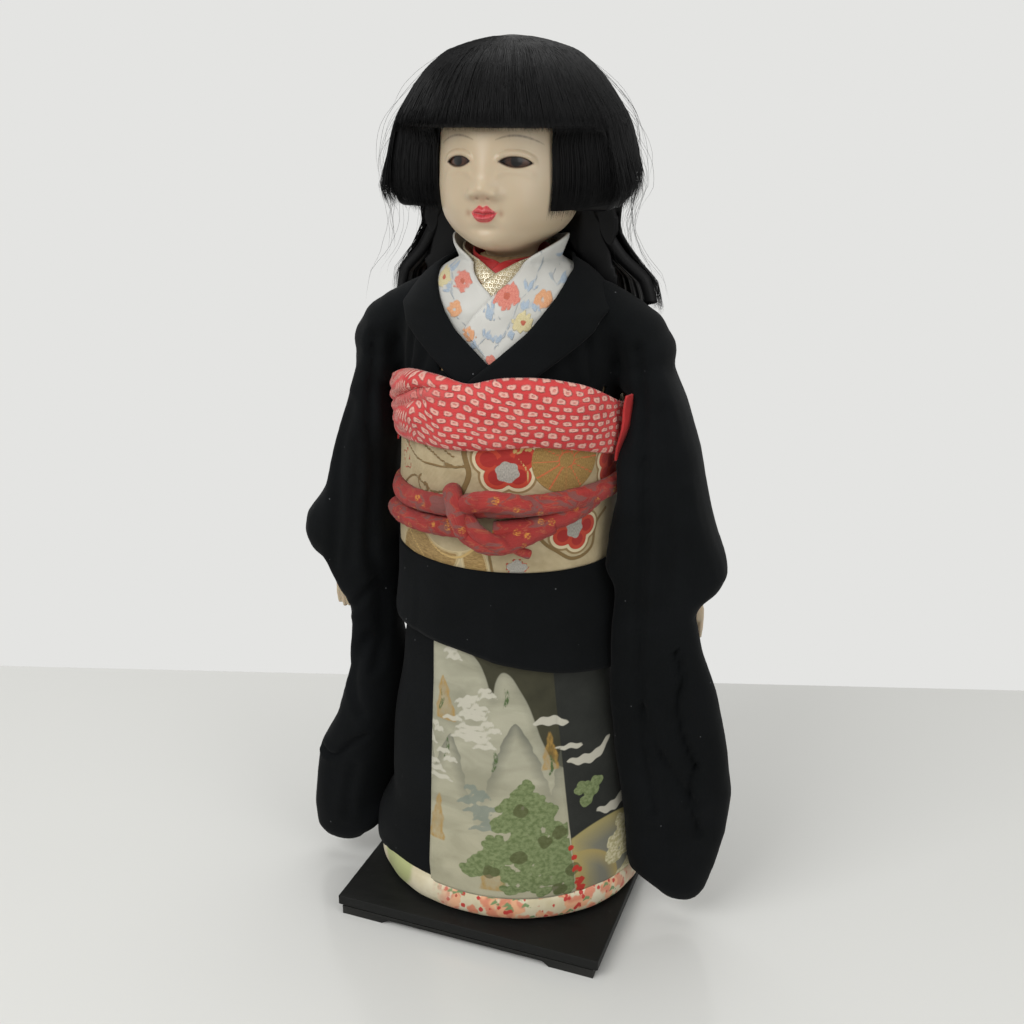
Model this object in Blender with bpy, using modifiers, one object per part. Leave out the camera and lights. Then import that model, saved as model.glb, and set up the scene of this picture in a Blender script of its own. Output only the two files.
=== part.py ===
"""An ichimatsu doll in a long-sleeved kimono, standing on a black square stand.

The doll faces -Y and its left hand is on +X. The origin is below the middle of the
whole doll's width, on the plane the stand rests on. Sizes are in millimetres and
become metres when a mesh is made. Heights of the doll's own pieces are measured from
the top of the stand's board.
"""

import math

import bmesh
import bpy
from mathutils import Matrix, Vector

MM = 0.001
SEAT = 0.3  # gap between pieces that touch
CENTRE_X = -4.0  # its left sleeve hangs wider, so the body stands off the middle

# Stand
STAND_SIDE = 150.0
BOARD_THICK = 5.7
RAIL_HEIGHT = 5.0
RAIL_DEPTH = 18.0
RAIL_INSET = 2.5
RAIL_FOOT = 24.0
RAIL_ARCH = 2.7
RAIL_ARCH_SLANT = 4.0
STAND_BEVEL = 0.6
STAND_TURN = -6.0  # degrees; the doll was set a little askew on its stand

# Feet and the pins that hold them on the board
FOOT_SPACING = 34.0
PIN_RADIUS = 2.0
PIN_IN_BOARD = 4.0
PIN_IN_FOOT = 10.0
PIN_FROM_HEEL = 16.0
FOOT_LENGTH = 46.0
FOOT_WIDTH = 19.0

# Padded body, as rows of height, half width, front depth and back depth
BODY_STEPS = 32
FORM_HEM = (71.5, 62.0, 60.0)
FORM_SKIRT = (60.0, 50.5, 49.0)
FORM_WAIST = (49.5, 42.0, 41.0)
FORM_CHEST = (53.0, 42.0, 41.5)
FORM_SHOULDER = (54.5, 37.5, 40.0)
FORM_NECK = (15.0, 14.6, 15.0)
HEM_HEIGHT = 27.0
SKIRT_HEIGHT = 98.0
WAIST_HEIGHT = 193.5
CHEST_HEIGHT = 289.0
SHOULDER_RISE = 25.0  # above the chest
NECK_RISE = 31.0  # above the shoulders

# Cloth
CLOTH = 2.0
PANEL_CLOTH = 1.8
HEM_ROLL = 5.2
HEM_ROLL_HEIGHT = 17.0
FOLD_CLOTH = 2.2
FOLD_FLARE = 2.4
FOLD_DROP_RIGHT = 37.0
FOLD_DROP_LEFT = 56.0
PANEL_EDGE_ANGLE = -29.0
PANEL_SIDE_ANGLE = 92.0
COLLAR_THIN = 0.9
COLLAR_THICK = 1.7
COLLAR_SEAT = 0.8

# Obi, its scarf, its cord and the knot at the back
OBI_THICK = 4.9
OBI_TOP_DROP = 5.0  # below the chest
OBIAGE_THICK = 5.5
OBIAGE_THINNING = 0.6  # at the sides and back
OBIAGE_RISE = 8.0  # above the obi
OBIAGE_DROP = 24.0  # down its front
CORD_RADIUS = 5.2
CORD_FLATTEN = 0.4  # how much the arms press it flat at the sides
CORD_HEIGHT = 229.0
TAIL_DROP = 13.5
TAIL_RADIUS = 5.0
CORD_TAILS = (("right", -66.0, -3.0), ("left", 3.0, 52.0))  # name, start and end angle
CORD_KNOT_ANGLE = 3.0
CORD_KNOT = (17.0, 7.0, 11.0)  # half sizes
KNOT_THICK = 24.0
KNOT_BOTTOM = 207.0
KNOT_RISE = 6.0  # above the obi
KNOT_HALF_ANGLE = 46.0

# Head, eyes and hair, with heights from the chin
CHIN_RISE = 4.0  # above the neck
HEAD_TURN = -3.0  # degrees, toward the doll's right
NECK_RADIUS = 12.3
NECK_PLUG = 27.0
EYE_SPACING = 27.0
EYE_HEIGHT = 41.0
EYE_WIDTH = 13.6
EYE_OPEN = 5.4
EYE_DEPTH = 9.0
EYE_SET = 3.7
HAIR_SEAT = 2.2
FACE_CLEARANCE = 37.0  # radius of the wig's inside where the fringe and a side lock part
BACK_CLEARANCE = 39.0  # the same where a side lock and the back hair part
HAIR_TOP = 95.0
FRINGE_HEIGHT = 55.0
FACE_ANGLE = 65.0
LOCK_END_ANGLE = 101.0
BACK_HAIR_ANGLE = 105.0

# Arms, hands and sleeves
ARM_RADIUS = 7.2
WRIST_RADIUS = 5.2
ARM_EASE = 0.9
WRIST_HEIGHT = 177.0
HAND_LENGTH = 27.0
CUFF_EASE = 4.6

STAND_TOP = RAIL_HEIGHT + SEAT + BOARD_THICK
SHOULDER_HEIGHT = CHEST_HEIGHT + SHOULDER_RISE
NECK_HEIGHT = SHOULDER_HEIGHT + NECK_RISE
CHIN_HEIGHT = NECK_HEIGHT + CHIN_RISE
OBI_TOP = CHEST_HEIGHT - OBI_TOP_DROP
OBIAGE_TOP = OBI_TOP + OBIAGE_RISE
OBIAGE_BOTTOM = OBI_TOP - OBIAGE_DROP
KNOT_TOP = OBI_TOP + KNOT_RISE
BODICE_OUT = SEAT + CLOTH
OBI_IN = BODICE_OUT + SEAT
COLLAR_OVER = OBI_IN + COLLAR_THIN
OBI_OUT = OBI_IN + OBI_THICK
PANEL_OUT = BODICE_OUT + SEAT + PANEL_CLOTH
FOLD_IN = PANEL_OUT + SEAT
CORD_OFFSET = OBI_OUT + SEAT + CORD_RADIUS
GARMENT_TOP = WAIST_HEIGHT - SEAT


# Scene, collections and materials


def clear_scene():
    for thing in list(bpy.data.objects):
        bpy.data.objects.remove(thing, do_unlink=True)


def new_collection(name):
    collection = bpy.data.collections.new(name)
    bpy.context.scene.collection.children.link(collection)
    return collection


clear_scene()
DOLL = new_collection("ichimatsu_doll")
CUTTERS = new_collection("cutters")


def new_empty(name, height, turn=0.0):
    empty = bpy.data.objects.new(name, None)
    empty.location = (CENTRE_X * MM, 0.0, height * MM)
    empty.rotation_euler = (0.0, 0.0, math.radians(turn))
    DOLL.objects.link(empty)
    return empty


STAND = new_empty("stand", 0.0, STAND_TURN)
FIGURE = new_empty("figure", STAND_TOP)
HEAD = new_empty("head_turn", STAND_TOP + CHIN_HEIGHT, HEAD_TURN)


def paint(obj, colour, roughness, metallic=0.0):
    material = bpy.data.materials.new(obj.name)
    material.use_nodes = True
    shader = material.node_tree.nodes["Principled BSDF"]
    shader.inputs["Base Color"].default_value = (*colour, 1.0)
    shader.inputs["Roughness"].default_value = roughness
    shader.inputs["Metallic"].default_value = metallic
    material.diffuse_color = (*colour, 1.0)
    obj.data.materials.append(material)
    return obj


# Meshes


def add_mesh(name, bm, parent, collection=DOLL):
    """Makes an object of a bmesh in millimetres, in its parent's frame."""
    bmesh.ops.recalc_face_normals(bm, faces=bm.faces)
    bmesh.ops.scale(bm, vec=(MM, MM, MM), verts=bm.verts)
    mesh = bpy.data.meshes.new(name)
    bm.to_mesh(mesh)
    bm.free()
    obj = bpy.data.objects.new(name, mesh)
    obj.parent = parent
    collection.objects.link(obj)
    return obj


def skin(loops, around=False):
    """Bridges loops of equal length; the ends are joined together or capped."""
    bm = bmesh.new()
    rows = [[bm.verts.new(point) for point in loop] for loop in loops]
    count = len(rows[0])
    pairs = list(zip(rows, rows[1:]))
    if around:
        pairs.append((rows[-1], rows[0]))
    for low, high in pairs:
        for i in range(count):
            j = (i + 1) % count
            bm.faces.new((low[i], low[j], high[j], high[i]))
    if not around:
        bm.faces.new(rows[0])
        bm.faces.new(rows[-1])
    return bm


def add_cutter(name, bm, parent):
    cutter = add_mesh(name, bm, parent, CUTTERS)
    cutter.hide_render = True
    cutter.display_type = "WIRE"
    return cutter


def cut(obj, cutter, operation="DIFFERENCE"):
    modifier = obj.modifiers.new(cutter.name, "BOOLEAN")
    modifier.object = cutter
    modifier.operation = operation
    modifier.solver = "MANIFOLD" if operation == "UNION" else "EXACT"
    return obj


def smooth(obj, angle=40.0):
    obj.data.shade_smooth()
    obj.data.set_sharp_from_angle(angle=math.radians(angle))
    return obj


def cylinder(radius, low, high, x, y, sides=16):
    bm = bmesh.new()
    place = Matrix.Translation((x, y, (low + high) / 2))
    bmesh.ops.create_cone(
        bm,
        cap_ends=True,
        segments=sides,
        radius1=radius,
        radius2=radius,
        depth=high - low,
        matrix=place,
    )
    return bm


def tube(points, radii, sides=10):
    """A tube of round sections along a path, with the sections square to it."""
    path = [Vector(point) for point in points]
    whole = path[-1] - path[0]
    upright = abs(whole.z) > Vector((whole.x, whole.y)).length
    reference = Vector((0.0, 1.0, 0.0)) if upright else Vector((0.0, 0.0, 1.0))
    loops = []
    for i, point in enumerate(path):
        ahead = path[min(i + 1, len(path) - 1)] - path[max(i - 1, 0)]
        across = ahead.cross(reference).normalized()
        other = across.cross(ahead).normalized()
        loop = []
        for k in range(sides):
            angle = math.tau * k / sides
            spoke = across * math.cos(angle) + other * math.sin(angle)
            loop.append(point + spoke * radii[i])
        loops.append(loop)
    return skin(loops)


# The padded body that every garment follows


def between(a, b, share):
    return a + (b - a) * share


def mix(a, b, share):
    return tuple(between(p, q, share) for p, q in zip(a, b))


FORM = (
    (0.0, *FORM_HEM),
    (HEM_HEIGHT, *mix(FORM_HEM, FORM_SKIRT, 0.05)),
    (between(HEM_HEIGHT, SKIRT_HEIGHT, 0.38), *mix(FORM_HEM, FORM_SKIRT, 0.47)),
    (SKIRT_HEIGHT, *FORM_SKIRT),
    (between(SKIRT_HEIGHT, WAIST_HEIGHT, 0.33), *mix(FORM_SKIRT, FORM_WAIST, 0.45)),
    (between(SKIRT_HEIGHT, WAIST_HEIGHT, 0.65), *mix(FORM_SKIRT, FORM_WAIST, 0.75)),
    (WAIST_HEIGHT, *FORM_WAIST),
    (between(WAIST_HEIGHT, CHEST_HEIGHT, 0.5), *mix(FORM_WAIST, FORM_CHEST, 0.15)),
    (CHEST_HEIGHT, *FORM_CHEST),
    (between(CHEST_HEIGHT, SHOULDER_HEIGHT, 0.6), *mix(FORM_CHEST, FORM_SHOULDER, 0.7)),
    (SHOULDER_HEIGHT, *FORM_SHOULDER),
    (between(SHOULDER_HEIGHT, NECK_HEIGHT, 0.26), *mix(FORM_SHOULDER, FORM_NECK, 0.09)),
    (between(SHOULDER_HEIGHT, NECK_HEIGHT, 0.48), *mix(FORM_SHOULDER, FORM_NECK, 0.28)),
    (between(SHOULDER_HEIGHT, NECK_HEIGHT, 0.68), *mix(FORM_SHOULDER, FORM_NECK, 0.48)),
    (between(SHOULDER_HEIGHT, NECK_HEIGHT, 0.85), *mix(FORM_SHOULDER, FORM_NECK, 0.72)),
    (NECK_HEIGHT, *FORM_NECK),
)


def read_rows(rows, at):
    """The values of a table at a height between its rows, clamped at its ends."""
    if at <= rows[0][0]:
        return rows[0][1:]
    for low, high in zip(rows, rows[1:]):
        if at <= high[0]:
            return mix(low[1:], high[1:], (at - low[0]) / (high[0] - low[0]))
    return rows[-1][1:]


def around(angle, height, offset, rows=FORM):
    """A point at an angle from the front toward +X, outside the form by an offset."""
    half, front, back = read_rows(rows, height)
    depth = front if math.cos(angle) > 0 else back
    x = (half + offset) * math.sin(angle)
    y = -(depth + offset) * math.cos(angle)
    return (x, y, height)


def body_angles(start=0.0, end=360.0):
    """The shared stations round the body, so that layers have facets in line."""
    step = 360.0 / BODY_STEPS
    inner = [step * k for k in range(-BODY_STEPS, 2 * BODY_STEPS) if start < step * k < end]
    if end - start >= 360.0:
        return [math.radians(step * k) for k in range(BODY_STEPS)]
    return [math.radians(angle) for angle in [start, *inner, end]]


def wrap(name, section, colour, roughness, start=0.0, end=360.0):
    """A garment round the body: section(angle) gives its outline as (offset, height)."""
    angles = body_angles(start, end)
    loops = [[around(a, height, offset) for offset, height in section(a)] for a in angles]
    obj = add_mesh(name, skin(loops, around=end - start >= 360.0), FIGURE)
    return smooth(paint(obj, colour, roughness))


def form_heights(low, high):
    return [low, *[row[0] for row in FORM if low < row[0] < high], high]


def layer(low, high, inner, outer):
    """The outline of a cloth layer between two heights, as (offset, height) pairs."""
    heights = form_heights(low, high)
    return [(outer, h) for h in heights] + [(inner, h) for h in reversed(heights)]


def plain_loft(heights, steps=BODY_STEPS):
    """A solid that fills the padded form between the first height and the last."""
    angles = [math.tau * k / steps for k in range(steps)]
    return skin([[around(a, h, 0.0) for a in angles] for h in heights])


# Stand


def side_to_side(outline, depth, y):
    """A flat outline in X and Z, made a prism that is centred at y."""
    bm = bmesh.new()
    front = [bm.verts.new((x, y - depth / 2, z)) for x, z in outline]
    face = bm.faces.new(front)
    moved = bmesh.ops.extrude_face_region(bm, geom=[face])["geom"]
    verts = [item for item in moved if isinstance(item, bmesh.types.BMVert)]
    bmesh.ops.translate(bm, verts=verts, vec=(0.0, depth, 0.0))
    return bm


def bevel(obj, width):
    modifier = obj.modifiers.new("rounded_edges", "BEVEL")
    modifier.width = width * MM
    modifier.segments = 2
    modifier.limit_method = "ANGLE"
    return obj


def make_board():
    bm = bmesh.new()
    size = Matrix.Diagonal((STAND_SIDE, STAND_SIDE, BOARD_THICK, 1.0))
    middle = Matrix.Translation((0.0, 0.0, STAND_TOP - BOARD_THICK / 2))
    bmesh.ops.create_cube(bm, size=1.0, matrix=middle @ size)
    board = add_mesh("stand_board", bm, STAND)
    bevel(paint(board, (0.012, 0.012, 0.014), 0.35), STAND_BEVEL)
    return board


def make_rail(name, y):
    end = STAND_SIDE / 2 - RAIL_INSET
    foot = end - RAIL_FOOT
    arch = foot - RAIL_ARCH_SLANT
    outline = [(-end, 0.0), (-foot, 0.0), (-arch, RAIL_ARCH), (arch, RAIL_ARCH)]
    outline += [(foot, 0.0), (end, 0.0), (end, RAIL_HEIGHT), (-end, RAIL_HEIGHT)]
    rail = add_mesh(name, side_to_side(outline, RAIL_DEPTH, y), STAND)
    return paint(rail, (0.012, 0.012, 0.014), 0.4)


def pin_place(side):
    return side * FOOT_SPACING / 2, FOOT_LENGTH * 0.3 - PIN_FROM_HEEL


def make_pin(name, side, board):
    x, y = pin_place(side)
    pin = add_mesh(name, cylinder(PIN_RADIUS, -PIN_IN_BOARD, PIN_IN_FOOT, x, y), FIGURE)
    paint(pin, (0.55, 0.55, 0.55), 0.35, 1.0)
    hole = cylinder(
        PIN_RADIUS + SEAT, -PIN_IN_BOARD - SEAT, PIN_IN_FOOT + SEAT, x, y
    )
    cutter = add_cutter(name + "_hole", hole, FIGURE)
    cut(board, cutter)
    return cutter


# Body, legs and arms


def make_torso():
    heights = form_heights(WAIST_HEIGHT, NECK_HEIGHT)
    torso = add_mesh("torso", plain_loft(heights), FIGURE)
    smooth(paint(torso, (0.62, 0.5, 0.36), 0.8))
    low, high = CHIN_HEIGHT - NECK_PLUG - SEAT, NECK_HEIGHT + NECK_RADIUS
    hole = cylinder(NECK_RADIUS + SEAT, low, high, 0.0, 0.0, 20)
    return cut(torso, add_cutter("neck_hole", hole, FIGURE))


LEG_SIDES = 14
LEG_ROWS = (
    # height, half width, half depth, centre of depth
    (SEAT, FOOT_WIDTH * 0.46, FOOT_LENGTH * 0.49, -FOOT_LENGTH * 0.2),
    (4.0, FOOT_WIDTH * 0.5, FOOT_LENGTH * 0.5, -FOOT_LENGTH * 0.2),
    (10.0, FOOT_WIDTH * 0.46, FOOT_LENGTH * 0.4, -FOOT_LENGTH * 0.12),
    (17.0, 8.6, 11.0, 1.0),
    (26.0, 8.2, 9.0, 2.0),
    (90.0, 11.5, 12.5, 2.0),
    (GARMENT_TOP, 15.0, 16.5, 1.0),
)


def leg_loops(side, ease, low=None):
    loops = []
    for height, half, depth, middle in LEG_ROWS:
        at = low if low is not None and height == SEAT else height
        ring = []
        for k in range(LEG_SIDES):
            angle = math.tau * k / LEG_SIDES
            x = side * FOOT_SPACING / 2 + (half + ease) * math.cos(angle)
            y = middle + (depth + ease) * math.sin(angle)
            ring.append((x, y, at))
        loops.append(ring)
    return loops


def make_leg(name, side, pin_hole, under_robe):
    leg = add_mesh(name, skin(leg_loops(side, 0.0)), FIGURE)
    smooth(paint(leg, (0.8, 0.76, 0.7), 0.7))
    cut(leg, pin_hole)
    loops = leg_loops(side, SEAT + 0.1, low=-SEAT)
    top = [(x, y, WAIST_HEIGHT + SEAT) for x, y, _ in loops[-1]]
    cut(under_robe, add_cutter(name + "_channel", skin([*loops[:-1], top]), FIGURE))


def make_under_robe():
    heights = form_heights(2 * SEAT, GARMENT_TOP)
    robe = add_mesh("under_robe", plain_loft(heights), FIGURE)
    return smooth(paint(robe, (0.75, 0.1, 0.09), 0.75))


# The doll's left arm hangs a little farther out than its right arm
WRIST_OUT = {1: 98.0, -1: 92.5}
WRIST_FRONT = {1: -4.0, -1: -9.0}
# Points as out, back and up: first from the shoulder, then the elbow, then from the wrist
UPPER_ARM = ((-9.0, 2.0, -5.0), (7.0, 1.5, -11.0), (18.0, 0.5, -36.0))
ELBOW = (-12.0, -1.5, -80.0)
FOREARM = ((-3.5, 1.5, 26.0), (0.0, 0.0, 6.0), (0.0, 0.0, 0.0))


def arm_path(side):
    out, front = WRIST_OUT[side], WRIST_FRONT[side]
    path = [(FORM_SHOULDER[0] + x, y, SHOULDER_HEIGHT + z) for x, y, z in UPPER_ARM]
    path.append((out + ELBOW[0], ELBOW[1], SHOULDER_HEIGHT + ELBOW[2]))
    path += [(out + x, front + y, WRIST_HEIGHT + z) for x, y, z in FOREARM]
    return [(side * x, y, z) for x, y, z in path]


def arm_radii(ease):
    upper, wrist = ARM_RADIUS + ease, WRIST_RADIUS + ease
    return [upper, upper, upper, upper * 0.94, between(upper, wrist, 0.55), wrist, wrist]


def make_arm(name, side, torso, bodice, sleeve):
    arm = add_mesh(name, tube(arm_path(side), arm_radii(0.0), sides=12), FIGURE)
    smooth(paint(arm, (0.8, 0.76, 0.7), 0.7))
    path = arm_path(side)
    radii = arm_radii(ARM_EASE)
    start = Vector(path[0]) + (Vector(path[0]) - Vector(path[1])).normalized() * SEAT
    hand_space = [(*path[-1][:2], WRIST_HEIGHT - HAND_LENGTH - 2.0)]
    radii[-1] = WRIST_RADIUS + CUFF_EASE
    radii.append(radii[-1] + 1.0)
    channel = tube([start, *path[1:], *hand_space], radii, sides=12)
    cutter = add_cutter(name + "_channel", channel, FIGURE)
    for piece in (torso, bodice, sleeve):
        cut(piece, cutter)


PALM_ROWS = (
    # distance below the wrist, half width, half depth
    (0.0, 4.2, 3.6),
    (4.0, 4.4, 3.5),
    (9.0, 5.7, 3.3),
    (14.0, 5.9, 2.9),
    (15.5, 5.4, 2.3),
)
FINGER_SPACING = 2.7
FINGER_RADII = (1.75, 1.7, 1.1)
THUMB_RADII = (2.3, 2.0, 1.3)


def make_hand(name, side):
    """A small hand that hangs down: a palm, four fingers side by side and a thumb."""
    x0 = side * WRIST_OUT[side]
    y0 = WRIST_FRONT[side]
    top = WRIST_HEIGHT - SEAT
    loops = []
    for drop, half, depth in PALM_ROWS:
        ring = []
        for k in range(12):
            angle = math.tau * k / 12
            ring.append((x0 + half * math.cos(angle), y0 + depth * math.sin(angle), top - drop))
        loops.append(ring)
    hand = add_mesh(name, skin(loops), FIGURE)
    paint(hand, (0.86, 0.74, 0.6), 0.45)
    lengths = (HAND_LENGTH - 2.5, HAND_LENGTH - 0.6, HAND_LENGTH, HAND_LENGTH - 2.0)
    for i, length in enumerate(lengths):
        x = x0 + side * (i - 1.5) * FINGER_SPACING
        path = [(x, y0, top - 12.0), (x, y0 - 0.4, top - 19.0), (x, y0 - 0.1, top - length)]
        finger = tube(path, FINGER_RADII, sides=8)
        cut(hand, add_cutter(f"{name}_finger_{i}", finger, FIGURE), "UNION")
    front = x0 - side * 4.0
    path = [(front, y0 - 1.5, top - 5.0), (front - side * 1.6, y0 - 3.9, top - 11.0)]
    path.append((front - side * 1.2, y0 - 4.6, top - 17.0))
    thumb = tube(path, THUMB_RADII, sides=8)
    return smooth(cut(hand, add_cutter(name + "_thumb", thumb, FIGURE), "UNION"))


# Head and eyes, in a frame whose height starts at the chin

HEAD_ROWS = (
    # height above the chin, half width, front depth, back depth
    (-NECK_PLUG, NECK_RADIUS, NECK_RADIUS, NECK_RADIUS),
    (-3.6, NECK_RADIUS, NECK_RADIUS, NECK_RADIUS),
    (-2.0, NECK_RADIUS + 0.2, 14.5, NECK_RADIUS + 0.4),
    (0.0, 13.2, 25.0, 13.5),
    (1.8, 15.0, 33.5, 15.0),
    (4.5, 20.0, 37.5, 17.5),
    (8.5, 25.8, 40.0, 21.0),
    (14.0, 30.3, 41.5, 25.5),
    (20.0, 32.6, 42.2, 29.0),
    (25.0, 33.6, 42.2, 31.7),
    (30.0, 34.1, 42.0, 34.0),
    (35.0, 34.2, 41.7, 35.8),
    (41.0, 34.1, 41.4, 37.0),
    (47.0, 33.8, 41.6, 37.5),
    (53.0, 33.0, 41.0, 37.3),
    (60.0, 31.5, 38.4, 35.8),
    (70.0, 27.5, 31.5, 31.0),
    (79.0, 20.0, 20.5, 21.5),
    (84.5, 11.0, 11.0, 12.0),
    (86.5, 3.0, 3.0, 3.2),
)
# More levels through the chin, mouth, nose and eyes, where the relief is fine
FACE_LEVELS = (12.5, 17.0, 18.8, 22.5, 27.0, 28.5, 32.5, 38.5, 43.5)
FACE_ANGLES = (0, 4, 8, 12.5, 18, 24, 31, 40, 51, 65, 82, 100, 120, 140, 160, 180)

FACE_FORMS = (
    # x, height, spread in x, spread in height, how far it stands out
    (0.0, 28.5, 3.4, 3.4, 4.8),
    (0.0, 36.0, 3.6, 9.0, 2.2),
    (4.6, 27.0, 2.2, 2.2, 1.2),
    (0.0, 20.6, 6.0, 1.7, 1.5),
    (0.0, 16.8, 4.4, 1.8, 1.6),
    (0.0, 12.6, 6.0, 1.7, -0.8),
    (0.0, 6.5, 9.0, 5.0, 1.5),
    (13.5, EYE_HEIGHT + 1.0, 7.0, 4.0, -1.3),
    (20.0, 24.0, 10.0, 9.0, 1.2),
)


def face_relief(x, height):
    total = 0.0
    for across, level, wide, tall, out in FACE_FORMS:
        for centre in {across, -across}:
            total += out * math.exp(-(((x - centre) / wide) ** 2) - ((height - level) / tall) ** 2)
    return total


def head_point(angle, height, offset=0.0):
    x, y, _ = around(angle, height, offset, HEAD_ROWS)
    if y < 0:
        y -= face_relief(x, height)
    return (x, y, height)


def head_angles():
    half = [math.radians(angle) for angle in FACE_ANGLES]
    return half + [-angle for angle in reversed(half[1:-1])]


def make_head():
    levels = sorted([row[0] for row in HEAD_ROWS] + list(FACE_LEVELS))
    loops = [[head_point(a, h) for a in head_angles()] for h in levels]
    head = add_mesh("head", skin(loops), HEAD)
    return smooth(paint(head, (0.87, 0.76, 0.64), 0.45), 60.0)


def ellipsoid(centre, half_sizes, ease=0.0):
    bm = bmesh.new()
    bmesh.ops.create_uvsphere(bm, u_segments=12, v_segments=8, radius=1.0)
    size = [half + ease for half in half_sizes]
    bmesh.ops.transform(bm, matrix=Matrix.Diagonal((*size, 1.0)), verts=bm.verts)
    bmesh.ops.translate(bm, verts=bm.verts, vec=centre)
    return bm


def make_eye(name, side, head):
    x = side * EYE_SPACING / 2
    surface = -read_rows(HEAD_ROWS, EYE_HEIGHT)[1]
    half = read_rows(HEAD_ROWS, EYE_HEIGHT)[0]
    surface *= math.sqrt(1.0 - (x / half) ** 2)
    surface -= face_relief(x, EYE_HEIGHT)
    centre = (x, surface + EYE_SET, EYE_HEIGHT)
    sizes = (EYE_WIDTH / 2, EYE_DEPTH / 2, EYE_OPEN / 2)
    eye = add_mesh(name, ellipsoid(centre, sizes), HEAD)
    smooth(paint(eye, (0.06, 0.03, 0.02), 0.08))
    cut(head, add_cutter(name + "_socket", ellipsoid(centre, sizes, SEAT), HEAD))


# Hair, one wig of silk-like hair glued over the head

HAIR_ROWS = (
    # height above the chin, half width, front depth, back depth of the outer surface
    (-30.0, 66.0, 44.0, 54.5),
    (-14.0, 65.0, 44.0, 52.5),
    (-4.0, 58.0, 44.0, 50.5),
    (8.0, 54.5, 44.0, 49.0),
    (18.0, 56.0, 44.5, 49.0),
    (27.0, 61.0, 45.0, 49.5),
    (40.0, 60.0, 46.5, 49.5),
    (47.0, 58.0, 47.5, 49.0),
    (FRINGE_HEIGHT, 56.0, 47.5, 48.5),
    (61.0, 53.5, 46.5, 47.5),
    (73.0, 45.5, 41.5, 43.5),
    (81.0, 39.0, 35.5, 38.5),
    (88.5, 30.0, 26.0, 30.0),
    (93.5, 14.0, 12.5, 15.0),
    (HAIR_TOP, 2.0, 2.0, 2.0),
)
NAPE_ROWS = (
    # height above the chin, clear half width, front and back behind the neck
    (-30.0, 57.5, 30.0, 47.0),
    (-20.0, 54.0, 30.0, 46.5),
    (-14.0, 47.0, 30.0, 45.5),
    (-4.0, 37.0, 30.0, 36.0),
    (8.0, 33.0, 30.0, 28.0),
    (18.0, 20.0, 20.0, 22.0),
)


def hair_end(degrees):
    """The height above the chin where the hair is cut off, at an angle from the front."""
    if degrees <= FACE_ANGLE:
        return FRINGE_HEIGHT
    if degrees <= LOCK_END_ANGLE:
        share = (degrees - FACE_ANGLE) / (LOCK_END_ANGLE - FACE_ANGLE)
        return 18.0 + 9.0 * share**2
    return -23.0 - 6.0 * (degrees - BACK_HAIR_ANGLE) / (180.0 - BACK_HAIR_ANGLE)


def hair_angles():
    angles = [0, 12.5, 24, 40, 51, FACE_ANGLE - 1, FACE_ANGLE + 1, 82]
    angles += [LOCK_END_ANGLE, BACK_HAIR_ANGLE, 120, 135, 150, 165, 180]
    return angles + [-angle for angle in reversed(angles[1:-1])]


def step_clearance(degrees):
    """How far the wig's inside keeps from the axis beside a step in its lower edge."""
    if abs(degrees - FACE_ANGLE) < 2.0:
        return FACE_CLEARANCE
    if LOCK_END_ANGLE - 6.0 < degrees < BACK_HAIR_ANGLE + 5.0:
        return BACK_CLEARANCE
    return 0.0


def hair_column(degrees):
    """One meridian of the wig: down its outer side and up its inner side."""
    angle = math.radians(degrees)
    end = hair_end(abs(degrees))
    shares = (0.0, 0.012, 0.05, 0.12, 0.2, 0.3, 0.42, 0.55, 0.7, 0.85, 1.0)
    outer = [HAIR_TOP - (HAIR_TOP - end) * share for share in shares]
    head_top = HEAD_ROWS[-1][0] + HAIR_SEAT
    inner = [head_top - (head_top - end) * share for share in shares[1:]]
    column = [around(angle, h, 0.0, HAIR_ROWS) for h in outer]
    for h in reversed(inner):
        head = head_point(angle, min(h - HAIR_SEAT, HEAD_ROWS[-1][0]), HAIR_SEAT)
        nape = around(angle, h, 0.0, NAPE_ROWS) if h < 18.0 else head
        far = max(head, nape, key=lambda point: math.hypot(point[0], point[1]))
        reach = math.hypot(far[0], far[1])
        clear = step_clearance(abs(degrees)) if h < FRINGE_HEIGHT else 0.0
        grow = max(1.0, clear / reach)
        column.append((far[0] * grow, far[1] * grow, h))
    return column


def make_wig():
    columns = [hair_column(degrees) for degrees in hair_angles()]
    loops = [list(ring) for ring in zip(*columns)]
    wig = add_mesh("wig", skin(loops), HEAD)
    return smooth(paint(wig, (0.008, 0.008, 0.012), 0.4), 50.0)


# Collars: each is one band round the neck, whose ends cross in front

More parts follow.
